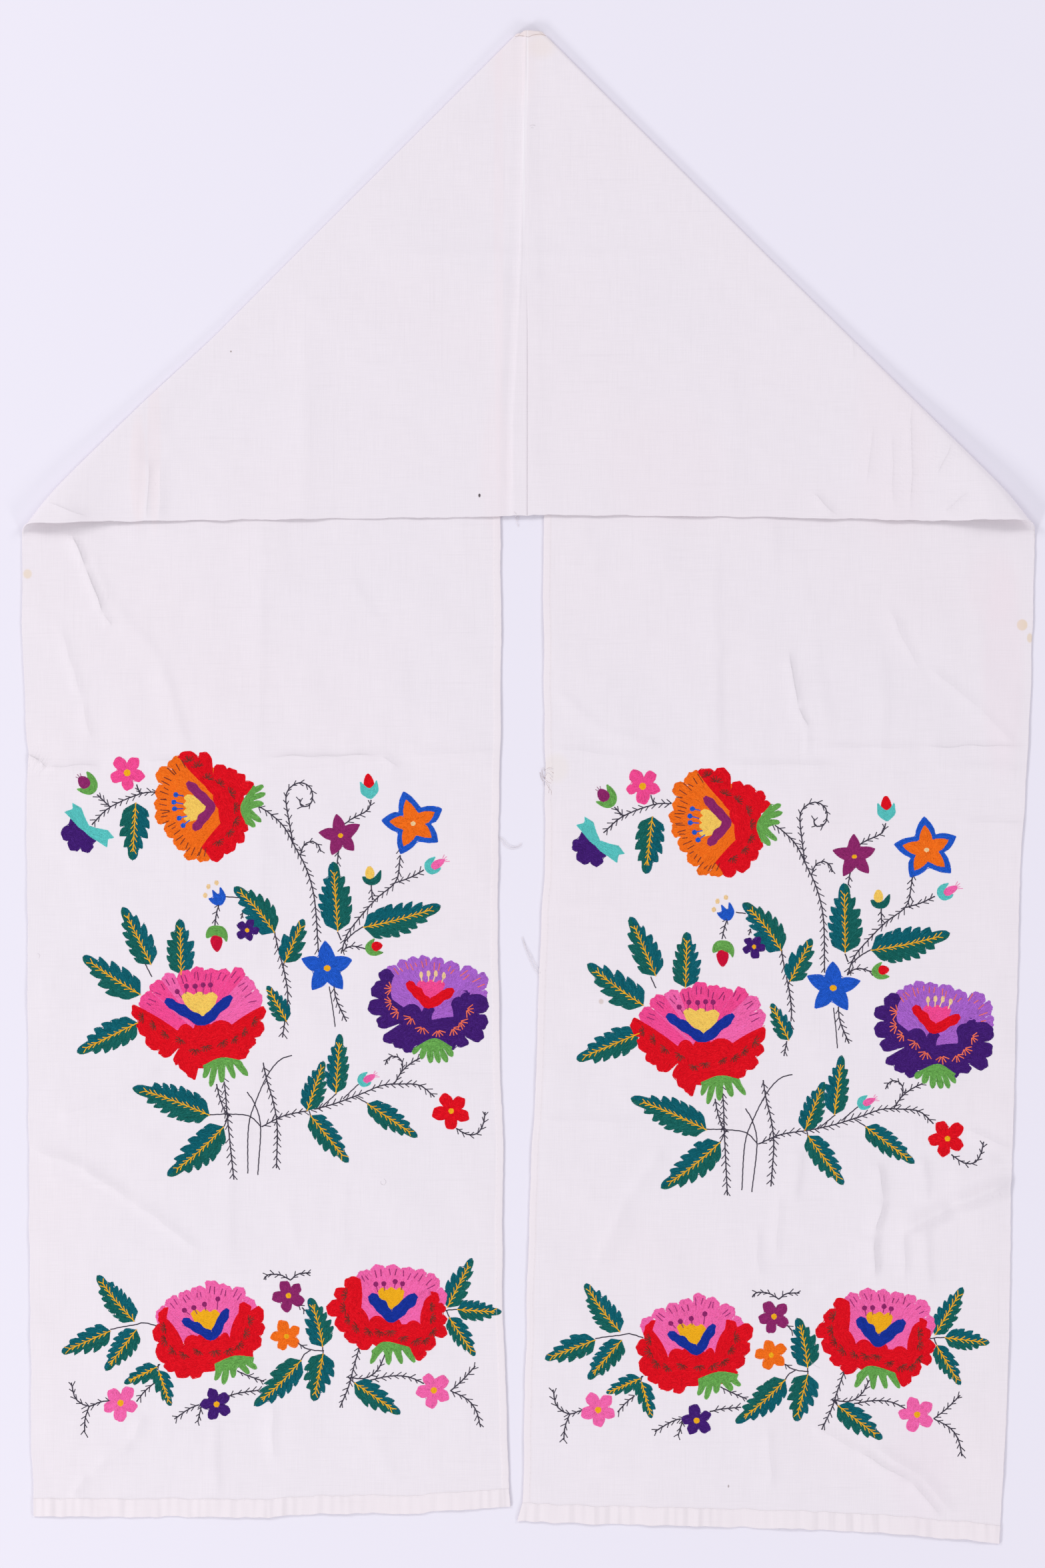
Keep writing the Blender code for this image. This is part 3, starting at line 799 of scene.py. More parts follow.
                            core[(int(py_) + j0) * W + int(px_) + i0] = 1
                    arms.append(pts)
                line = arms[1][::-1] + [(fi + 0.5, fj + 0.5)] + arms[0]
                if len(line) < 4:
                    taken[(fj + j0) * W + fi + i0] = 1
                    continue
                for p in line:
                    self.stamp(p, i0, j0)
                self.sew(line, reg, i0, j0, rng)

    def stamp(self, p, i0, j0):
        i, j = int(p[0]) + i0, int(p[1]) + j0
        if 0 < i < self.w - 1 and 0 < j < self.h - 1:
            self.core[j * self.w + i] = 1
            for q in (j - 1, j, j + 1):
                k = q * self.w + i
                self.taken[k - 1:k + 2] = b"\x01\x01\x01"

    def sew(self, line, reg, i0, j0, rng):
        """Cuts a row into stitches, end to end, brick fashion."""
        n = len(line)
        k = 0
        first = rng.randint(4, 10)
        while k < n - 1:
            e = min(n - 1, k + first)
            if n - 1 - e < 4:
                e = n - 1 if n - 1 - k <= 12 else k + (n - 1 - k) // 2
            (x0, y0), (x1, y1) = line[k], line[e]
            x0, y0 = (x0 + i0) / CELL + self.left, (y0 + j0) / CELL + self.top
            x1, y1 = (x1 + i0) / CELL + self.left, (y1 + j0) / CELL + self.top
            tone = rng.gauss(0.5 + reg["tone"], 0.16)
            self.stitch(reg["colour"], x0, y0, x1, y1, STITCH_WIDE * rng.uniform(0.92, 1.1), STITCH_HIGH * rng.uniform(0.85, 1.1),
                        0.0, tone)
            k, first = e, rng.randint(7, 11)


def leg_top(side, x, y):
    """Height of a leg's right side at world points, read off the sheet itself."""
    columns, start, split, hem, count, height = SURFACE[side]
    r = cy(y)
    inner, outer = edge_x(side + "_inner", r), edge_x(side + "_outer", r)
    v = np.clip((cx(x) - inner) / (outer - inner), 0, 1)
    a, b = np.interp(v, columns, start), np.interp(v, columns, split)
    first = len(hem) - 1
    row = np.where(y < a, np.interp(y - a + hem[-1], hem, np.arange(len(hem))), first + (y - a) / (b - a) * count)
    row = np.clip(row, 0, first + count - 1e-6)
    i = row.astype(int)
    u = row - i
    k = np.clip(np.searchsorted(columns, v, side="right") - 1, 0, len(columns) - 2)
    w = (v - columns[k]) / (columns[k + 1] - columns[k])
    return ((height[i, k] * (1 - w) + height[i, k + 1] * w) * (1 - u) + (height[i + 1, k] * (1 - w) + height[i + 1, k + 1] * w) * u)


def padding(nw):
    """The thin layer of thread under the rows: square blocks that lie wholly in one colour, and short strips for what
    is left between them, clear of the bare cloth. It is coloured darker than the stitches: painted shade between them."""
    colours = sorted(THREADS)
    index = np.array([0] + [colours.index(r["colour"]) + 1 for r in nw.regions[1:]], np.int16)
    picture = index[nw.label]
    h8, w8 = picture.shape[0] // 8 * 8, picture.shape[1] // 8 * 8
    picture = picture[:h8, :w8]
    left = picture > 0
    sewn = np.pad(left, 1)
    clear = left.copy()
    for dj in (0, 1, 2):
        for di in (0, 1, 2):
            clear &= sewn[dj:dj + h8, di:di + w8]
    out = {}
    for size in (8, 4):
        blocks = picture.reshape(h8 // size, size, w8 // size, size)
        free = left.reshape(h8 // size, size, w8 // size, size).all(axis=(1, 3))
        low, high = blocks.min(axis=(1, 3)), blocks.max(axis=(1, 3))
        good = (low == high) & (low > 0) & free
        jj, ii = np.nonzero(good)
        for j, i, c in zip(jj.tolist(), ii.tolist(), low[good].tolist()):
            out.setdefault(colours[c - 1], []).append((i * size, j * size, size, size))
        left &= ~np.repeat(np.repeat(good, size, 0), size, 1)
    left &= clear
    for j in range(0, h8, 2):
        both = np.where(left[j] & left[j + 1], picture[j], 0)
        cut = np.flatnonzero(np.diff(np.concatenate([[0], both, [0]])))
        for a, b in zip(cut, cut[1:]):
            if both[a] and b > a:
                out.setdefault(colours[both[a] - 1], []).append((int(a), j, int(b - a), 2))
    return {c: np.array(rows, float) / CELL + (nw.left, nw.top, 0, 0) for c, rows in out.items()}


def stitch_mesh(name, top, rows, pads, material):
    """The stitches of one colour as one mesh, each a low ridge with its ends drawn into the cloth, and the thin layer
    of thread under them in a darker tone, painted shade between the stitches."""
    a = np.array(rows)
    x0, y0, x1, y1 = wx(a[:, 0]), wy(a[:, 1]), wx(a[:, 2]), wy(a[:, 3])
    wide, high, lift, tone = a[:, 4] * MM, a[:, 5] * MM, a[:, 6] * MM, a[:, 7]
    dx, dy = x1 - x0, y1 - y0
    n = np.maximum(np.hypot(dx, dy), 1e-9)
    dx, dy = dx / n, dy / n
    px, py = -dy, dx
    z0, z1 = top(x0, y0) + lift, top(x1, y1) + lift
    inset = np.minimum(0.28 * n, 0.55 * MM)
    V = np.empty((len(a), 6, 3))
    for i, (bx, by, bz, way) in enumerate(((x0, y0, z0, 1), (x0, y0, z0, -1), (x1, y1, z1, -1), (x1, y1, z1, 1))):
        V[:, i, 0] = bx + px * 0.42 * wide * way
        V[:, i, 1] = by + py * 0.42 * wide * way
        V[:, i, 2] = bz - 0.03 * MM
    V[:, 4] = np.stack([x0 + dx * inset, y0 + dy * inset, z0 + (z1 - z0) * inset / n + high], 1)
    V[:, 5] = np.stack([x1 - dx * inset, y1 - dy * inset, z1 - (z1 - z0) * inset / n + high], 1)
    one = [(0, 4, 5, 3), (1, 2, 5, 4), (0, 1, 4), (2, 3, 5)]
    base = (np.arange(len(a)) * 6)[:, None]
    loops = (base + np.array([i for f in one for i in f])).ravel()
    sizes = np.tile([len(f) for f in one], len(a))
    V, tones = V.reshape(-1, 3), np.repeat(tone, 6)
    if pads is not None:
        P = np.empty((len(pads), 4, 3))
        for i, (u, v) in enumerate(((0, 1), (1, 1), (1, 0), (0, 0))):
            X, Y = wx(pads[:, 0] + u * pads[:, 2]), wy(pads[:, 1] + v * pads[:, 3])
            P[:, i] = np.stack([X, Y, top(X, Y) + 0.10 * MM], 1)
        first = len(V)
        V = np.concatenate([V, P.reshape(-1, 3)])
        # the layer under the rows gets a darker tone: painted shade in the gaps between the stitches
        tones = np.concatenate([tones, np.full(len(pads) * 4, 0.30)])
        loops = np.concatenate([loops, first + np.arange(len(pads) * 4)])
        sizes = np.concatenate([sizes, np.full(len(pads), 4)])
    starts = np.concatenate([[0], np.cumsum(sizes)[:-1]])
    mesh = bpy.data.meshes.new(name)
    mesh.vertices.add(len(V))
    mesh.vertices.foreach_set("co", V.astype(np.float32).ravel())
    mesh.loops.add(len(loops))
    mesh.loops.foreach_set("vertex_index", loops.astype(np.int32))
    mesh.polygons.add(len(sizes))
    mesh.polygons.foreach_set("loop_start", starts.astype(np.int32))
    mesh.polygons.foreach_set("loop_total", sizes.astype(np.int32))
    mesh.update(calc_edges=True)
    mesh.validate()
    layer = mesh.attributes.new("tone", "FLOAT", "POINT")
    layer.data.foreach_set("value", tones.astype(np.float32))
    mesh.shade_smooth()
    mesh.materials.append(material)
    piece = bpy.data.objects.new(name, mesh)
    bpy.context.scene.collection.objects.link(piece)
    return piece


# ---- needlework: the motifs -----------------------------------------------------------------------------
def local(x, y, turn, points, size=1.0):
    """Points in a motif's own frame (a to its right, b the way it points) put on the chart. Turn 0 points up
    the chart and 90 to the left."""
    t = math.radians(turn)
    c, s = math.cos(t) * size, math.sin(t) * size
    return [(x + a * c - b * s, y - a * s - b * c) for a, b in points]


def lobed(rng, a0, a1, n, radius, depth=0.25, uneven=0.03, blunt=0.55, per=8, ripple=1.1):
    """A polar outline from angle a0 to a1 in n rounded lobes. radius(angle in degrees) is where their tips lie, and
    the notches between them are depth lobe widths deep. Gives the lobes one by one, each a list of points."""
    cuts = [a0 + (a1 - a0) * (i + (rng.uniform(-0.14, 0.14) if 0 < i < n else 0)) / n for i in range(n + 1)]
    out = []
    for i in range(n):
        own = rng.uniform(-uneven, uneven)
        chord = radius((cuts[i] + cuts[i + 1]) / 2) * math.radians(cuts[i + 1] - cuts[i])
        row = []
        per = max(per, int(chord / 2.8))
        waves, phase = max(1.6, chord / 12.5), rng.uniform(0, 6.28)
        for k in range(per + 1):
            s = k / per
            bump = math.sin(math.pi * s) ** blunt
            ang = cuts[i] + (cuts[i + 1] - cuts[i]) * s
            r = radius(ang) * (1 + own * bump) - depth * chord * (1 - bump)
            r += ripple * math.sin(6.28 * waves * s + phase) * bump  # the edge is as uneven as the hand that sewed it
            row.append((r * math.cos(math.radians(ang)), r * math.sin(math.radians(ang))))
        out.append(row)
    return out


def leaf(nw, name, base, tip, wide, teal="left", teeth=5, bend=0.0, tongue=0.24):
    """A toothed leaf in two greens with a gold feather-stitch vein. The teeth point forward, and the leaf ends
    in a narrow tongue."""
    rng = nw.begin(name, OFFSETS)
    bx, by = base
    length = math.hypot(tip[0] - bx, tip[1] - by)
    turn = math.degrees(math.atan2(-(tip[0] - bx), -(tip[1] - by)))
    bow = bend * length

    def rib(t):
        return bow * math.sin(math.pi * t)

    for hand, sign in (("left", -1), ("right", 1)):
        pts = [(rib(0), 0)]
        n = teeth + rng.choice((0, 0, 1)) if teeth > 3 else teeth
        reach = [0.04 + (0.96 - tongue) * (i / n) ** 0.95 for i in range(n + 1)]
        for i in range(n):
            t0, t1 = reach[i], reach[i + 1] + rng.uniform(-0.018, 0.018)
            w_tip = wide / 2 * math.sin(math.pi * min(1.0, t1 ** 0.75)) ** 0.72 * rng.uniform(0.96, 1.10)
            w_in = w_tip * (rng.uniform(0.70, 0.78) if i else 0.34)
            pts.append((rib(t0) + sign * w_in, t0 * length))
            pts.append((rib(t0) + sign * (w_in * 0.34 + w_tip * 0.66) * (1.04 if i else 1.12), (t0 + 0.40 * (t1 - t0)) * length))
            pts.append((rib(t1) + sign * w_tip * 1.01, (t0 + 0.88 * (t1 - t0)) * length))
            pts.append((rib(t1) + sign * w_tip * 1.0, (t0 + 1.14 * (t1 - t0)) * length))
        last = reach[-1]
        pts.append((rib(last) + sign * wide * 0.19, (last + 0.015) * length))
        pts.append((rib(1 - 0.4 * tongue) + sign * wide * 0.165, (1 - 0.4 * tongue) * length))
        pts.append((rib(0.96) + sign * wide * 0.11, 0.965 * length))
        pts.append((rib(1.0), length))
        spine = [(rib(t), t * length) for t in np.linspace(1, 0, 9)]
        slant = local(bx, by, turn, [(0, 0), (sign * 0.62, 1.0)])
        nw.region(local(bx, by, turn, pts + spine[1:-1]), "teal" if hand == teal else "sea", "axis", slant,
                  tone=rng.uniform(-0.05, 0.05))
    vein = local(bx, by, turn, [(rib(t), t * length) for t in np.linspace(0.0, 0.84, 7)])
    small = length < 60
    nw.feather(vein, "amber", wide=0.92, tick=6.6 if small else 8.6, every=7.0 if small else 8.6, spread=30, tick_wide=0.78,
               over=True, skip=length * 0.02, length=4.6)


def small_flower(nw, name, x, y, r, colour, turn=0.0, n=5, centre="amber", depth=0.36, eye=0.20):
    rng = nw.begin(name, OFFSETS)
    rows = lobed(rng, 0, 360, n, lambda a: r, depth, 0.07, 0.78, 10)
    pts = [p for row in rows for p in row[:-1]]
    nw.region(local(x, y, turn, pts), colour, "radial", [(x, y)], tone=rng.uniform(-0.04, 0.04))
    disc = [(r * eye * (1 + 0.1 * math.sin(5 * a)) * math.cos(a), r * eye * math.sin(a)) for a in np.linspace(0, 2 * math.pi, 13)[:-1]]
    nw.region(local(x, y, turn, disc), centre, "contour")


def star_points(rng, r, n, waist=0.50):
    """A star with straight-sided points, a little swollen near their feet."""
    pts = []
    gap = math.pi / n
    for i in range(n):
        a = 2 * math.pi * i / n + rng.uniform(-0.09, 0.09)
        far = r * rng.uniform(0.95, 1.06)
        tx, ty = far * math.sin(a), far * math.cos(a)
        for side in (-1, 1):
            w = waist * r * rng.uniform(0.96, 1.04)
            fx, fy = w * math.sin(a + side * gap), w * math.cos(a + side * gap)
            nx, ny = math.sin(a + side * math.pi / 2), math.cos(a + side * math.pi / 2)
            row = [(fx + (tx - fx) * t + nx * r * 0.07 * math.sin(math.pi * t), fy + (ty - fy) * t + ny * r * 0.07 * math.sin(math.pi * t))
                   for t in (0, 0.3, 0.6, 0.85, 0.97)]
            pts += row if side < 0 else row[::-1][:-1]
    return pts


def star(nw, name, x, y, r, colour, turn=0.0, inner=None, centre="gold", n=5, eye=0.14, mode="radial"):
    rng = nw.begin(name, OFFSETS)
    state = rng.getstate()
    nw.region(local(x, y, turn, star_points(rng, r, n, 0.56 if inner else 0.50)), colour, "contour" if inner else mode, [(x, y)])
    if inner:
        rng.setstate(state)
        nw.region(local(x, y, turn, star_points(rng, r * 0.74, n, 0.49)), inner, "radial", [(x, y)])
    disc = [(r * eye * math.cos(a), r * eye * 0.85 * math.sin(a)) for a in np.linspace(0, 2 * math.pi, 11)[:-1]]
    nw.region(local(x, y, turn, disc), centre, "contour")


def teardrop(a, b, long, wide, point=1.0):
    """A drop whose round end is at (a, b) and whose point is `long` above it."""
    pts = []
    for t in np.linspace(0, 2 * math.pi, 19)[:-1]:
        yy = 0.5 - 0.5 * math.cos(t)
        ww = math.sin(t) * (1 - 0.5 * point * yy) * wide * 0.64
        pts.append((a + ww, b + yy * long))
    return pts


BUD_CUPS = {  # calyx outlines, in lengths of the bud
    "cup": [(0, 0), (0.17, 0.10), (0.33, 0.28), (0.33, 0.52), (0.30, 0.70), (0.20, 0.56), (0, 0.42), (-0.20, 0.58), (-0.32, 0.72),
            (-0.34, 0.50), (-0.33, 0.26), (-0.17, 0.10)],
    "horn": [(0, 0), (0.28, 0.06), (0.48, 0.30), (0.52, 0.74), (0.34, 0.60), (0.18, 0.42), (-0.04, 0.36), (-0.22, 0.44), (-0.46, 0.46),
             (-0.38, 0.18), (-0.18, 0.04)],
    "wrap": [(0, 0), (0.20, 0.06), (0.38, 0.28), (0.42, 0.62), (0.32, 0.90), (0.18, 0.68), (0.04, 0.50), (-0.14, 0.46), (-0.32, 0.52),
             (-0.48, 0.60), (-0.40, 0.30), (-0.22, 0.06)],
    "long": [(0, 0), (0.18, 0.04), (0.30, 0.20), (0.32, 0.46), (0.22, 0.60), (0.10, 0.46), (-0.06, 0.40), (-0.18, 0.50), (-0.28, 0.66),
             (-0.36, 0.40), (-0.32, 0.16), (-0.16, 0.02)],
    "cap": [(0, 0), (0.24, 0.04), (0.38, 0.22), (0.40, 0.46), (0.24, 0.44), (0.08, 0.36), (-0.10, 0.42), (-0.24, 0.50), (-0.36, 0.66),
            (-0.42, 0.36), (-0.28, 0.08)],
    "tulip": [(0, 0), (0.30, 0.16), (0.46, 0.46), (0.36, 0.96), (0.12, 0.62), (-0.10, 1.0), (-0.24, 0.60), (-0.50, 0.66), (-0.36, 0.22)],
}


def bud(nw, name, x, y, turn, size, petal, calyx, kind="cup", whiskers=None, n=3, slim=1.0):
    """A bud in its calyx, pointing the way it is turned. (x, y) is where the stem meets it; size is its length."""
    rng = nw.begin(name, OFFSETS)
    s = size
    drop = {"cup": (0, 0.36, 0.62, 0.40, 1), "horn": (-0.06, 0.32, 0.66, 0.46, 0.8), "wrap": (-0.06, 0.34, 0.58, 0.46, 0.7),
            "cap": (0.02, 0.34, 0.66, 0.46, 1), "long": (0.02, 0.26, 0.66, 0.34, 0.9)}
    cup = [(a * s * slim, b * s) for a, b in BUD_CUPS[kind]]
    if kind == "tulip":
        nw.region(local(x, y, turn, catmull(cup, True, 2.0)), petal, "contour")
        return
    a, b, long, wide, point = drop[kind]
    body = local(x, y, turn, teardrop(a * s, b * s, long * s, wide * s * slim, point))
    if kind in ("cup", "cap"):
        nw.region(body, petal, "contour")
    nw.region(local(x, y, turn, catmull(cup, True, 2.0)), calyx, "contour")
    if kind in ("wrap", "horn", "long"):
        nw.region(body, petal, "contour")
    if whiskers:
        for i in range(n):
            w = (i - (n - 1) / 2) * 0.055 * s
            p, q = local(x, y, turn, [(w + a * s, 0.86 * s), (w * 2.2 + a * s, (1.01 + 0.05 * (i % 2)) * s)])
            nw.stroke(p, q, whiskers, 0.5)


def fan(nw, x, y, turn, size, colour, n=5, spread=62, wide=0.6, on=None):
    """A little fan of strokes opening the way it is turned."""
    for i in range(n):
        ang = (i - (n - 1) / 2) / ((n - 1) / 2) * spread + nw.rng.uniform(-6, 6)
        r0, r1 = size * 0.14, size * nw.rng.uniform(0.82, 1.05)
        p, q = local(x, y, turn, [(r * math.sin(math.radians(ang)), r * math.cos(math.radians(ang))) for r in (r0, r1)])
        nw.stroke(p, q, colour, wide, None, on)


def petals_of(rng, groups, depth=0.22, blunt=0.55):
    """Rows of lobes: each group gives its first and last angle, how many lobes, and the reach at both ends."""
    rows = []
    for a0, a1, n, r0, r1 in groups:
        if n < 0:  # a notch
            rows.append([(r0 * math.cos(math.radians(a0)), r0 * math.sin(math.radians(a0)))])
        elif n == 0:
            rows.append([(r * math.cos(math.radians(a)), r * math.sin(math.radians(a)))
                         for a, r in zip(np.linspace(a0, a1, 9), np.linspace(r0, r1, 9))])
        else:
            rows += lobed(rng, a0, a1, n, lambda a: r0 + (r1 - r0) * (a - a0) / (a1 - a0), depth, 0.03, blunt, 9)
    return rows


def peony(nw, name, x, y, turn, crown, petals, cup, cup_colour, inner, vee, vee_colour, heart, heart_colour, stamens,
          stamen_colour, fans, fan_colour, stroke_colour, calyx, spoon=False, strokes=2):
    """A peony seen from the side: a crown of rounded petals behind, a lobed cup before it, a V with its heart and
    stamens, and a fingered calyx. All in the flower's own frame, b the way it points.
    crown, cup: groups of lobes, anticlockwise; inner: the cup's upper edge, left to right, with the height of the
    bump after each point; vee: left tip, corner, right tip, width; heart: left, right, top; calyx: left end,
    crest, right end, root of the fingers, and the fingers' tips."""
    rng = nw.begin(name, OFFSETS)

    def at(points):
        return local(x, y, turn, points)

    rows = petals_of(rng, crown)
    ground = [(a * 0.90, b * 0.90) for row in rows for a, b in row]
    nw.region(at([(10, -30), (60, 0)] + ground + [(-60, 0), (-10, -30)]), petals[0], "radial", [at([(0, -14)])[0]], outline=False)
    for i, row in enumerate(rows):
        pts = [(0, -8)] + row
        if i == 0:
            pts = [(0, -16), (row[0][0] * 0.9, row[0][1] * 0.2 - 4)] + row
        if i == len(rows) - 1:
            pts = [(0, -16)] + row + [(row[-1][0] * 0.9, row[-1][1] * 0.2 - 4)]
        nw.region(at(pts), petals[i % len(petals)], "radial", [at([(0, -14)])[0]], tone=rng.uniform(-0.06, 0.06), outline=False)
    outer = [p for row in petals_of(rng, cup, 0.27) for p in row]
    edge = []
    for (a0, b0, h), (a1, b1, _) in zip(inner, inner[1:]):
        m = math.hypot(a1 - a0, b1 - b0)
        for k in range(8):
            t = k / 8
            s = math.sin(math.pi * t) ** 0.7 * h
            edge.append((a0 + (a1 - a0) * t - (b1 - b0) / m * s, b0 + (b1 - b0) * t + (a1 - a0) / m * s))
    edge.append(inner[-1][:2])
    nw.region(at(outer + edge[::-1]), cup_colour, "contour")
    # the heart, then the V over its foot
    (lx, ly), (vx, vy), (rx, ry), vw = vee
    hl, hr, ht, scallops, hb = heart
    top = [(hr + (hl - hr) * k / 20, ht - 5 + 5.5 * abs(math.sin(k / 20 * scallops * math.pi)) + 1.5 * math.sin(math.pi * k / 20))
           for k in range(21)]
    nw.region(at([(vx, vy + 2), (hr * 0.8 + vx * 0.2, vy * 0.45 + ht * 0.55 * hb)] + top + [(hl * 0.8 + vx * 0.2, vy * 0.45 + ht * 0.55 * hb)]),
              heart_colour, "contour")
    line = catmull([(lx, ly), (lx * 0.5 + vx * 0.5, ly * 0.47 + vy * 0.53), (vx, vy), (rx * 0.5 + vx * 0.5, ry * 0.47 + vy * 0.53), (rx, ry)],
                   False, 2.5)
    lower, upper = [], []
    for i, (px, py) in enumerate(line):
        qx, qy = line[min(i + 1, len(line) - 1)]
        ox, oy = line[max(i - 1, 0)]
        nx, ny = -(qy - oy), qx - ox
        m = math.hypot(nx, ny)
        s = i / (len(line) - 1)
        half = vw / 2 * min(1, 0.45 + 5.5 * min(s, 1 - s)) * (1 + 0.10 * math.sin(s * 31 + 9 * turn))
        lower.append((px - nx / m * half, py - ny / m * half))
        half *= 1 + 0.13 * math.sin(s * math.pi * 11)
        upper.append((px + nx / m * half, py + ny / m * half))
    nw.region(at(lower + upper[::-1]), vee_colour, "contour")
    # calyx
    left, crest, right, root, tips = calyx
    ring = catmull([left, crest, right], False, 4.0)
    ring = ring[::-1]
    (ca, cb) = root
    for i, (ta, tb) in enumerate(tips):
        share = (i + 0.5) / len(tips) - 0.5
        ca, cb = root[0] + (right[0] - left[0]) * share * 0.62, root[1] + (right[1] - left[1]) * share * 0.62
        dx, dy = ta - ca, tb - cb
        m = math.hypot(dx, dy)
        dx, dy = dx / m, dy / m
        hw = 5.0 * rng.uniform(0.9, 1.1)
        if i:
            ga, gb = (ta + tips[i - 1][0]) / 2, (tb + tips[i - 1][1]) / 2
            ra, rb = ca - (right[0] - left[0]) / len(tips) * 0.31, cb - (right[1] - left[1]) / len(tips) * 0.31
            ring.append((ra + (ga - ra) * 0.38, rb + (gb - rb) * 0.38))
        for f, g in ((0.62, -1.0), (0.85, -0.8), (0.97, -0.4), (1.0, 0.1), (0.93, 0.6), (0.80, 0.9), (0.58, 1.0)):
            # the left side of a finger first
            ring.append((ca + dx * m * f - dy * hw * g * -1 * -1, cb + dy * m * f + dx * hw * g * -1 * -1))
    nw.region(at(ring), "green", "contour", tone=0.02)
    for sx, sy, fx, fy in stamens:
        p, q = at([(sx, sy), (fx, fy)])
        nw.stroke(p, q, stamen_colour, 1.1 if spoon else 0.8)
        big = (3.0, 5.0) if spoon == "loop" else (4.0, 4.0)
        head = [(sx + big[0] * math.cos(t), sy + big[1] * math.sin(t)) for t in np.linspace(0, 2 * math.pi, 11)[:-1]]
        nw.region(at(head), stamen_colour, "contour")
    for fa, fb in fans:
        p = at([(fa, fb)])[0]
        out = math.degrees(math.atan2(fb - 22, fa)) - 90
        coral = fan_colour == "coral"
        fan(nw, p[0], p[1], turn + out + rng.uniform(-8, 8), (12.5 if coral else 10.0) * rng.uniform(0.92, 1.08), fan_colour,
            5 if coral else 7, 62 if coral else 74, 0.95 if coral else 0.74, (cup_colour,))
    if stroke_colour:
        for row in rows:
            mid = row[len(row) // 2]
            ang, r = math.degrees(math.atan2(mid[1], mid[0])), math.hypot(*mid)
            for k in range(strokes):
                aa = math.radians(ang + (k - (strokes - 1) / 2) * 6.0 + rng.uniform(-1, 1))
                r0, r1 = r * rng.uniform(0.74, 0.80), r * rng.uniform(0.87, 0.92)
                lean = math.radians(rng.uniform(-2, 2))
                p, q = at([(r0 * math.cos(aa), r0 * math.sin(aa)), (r1 * math.cos(aa + lean), r1 * math.sin(aa + lean))])
                nw.stroke(p, q, stroke_colour, 0.78, None, petals)


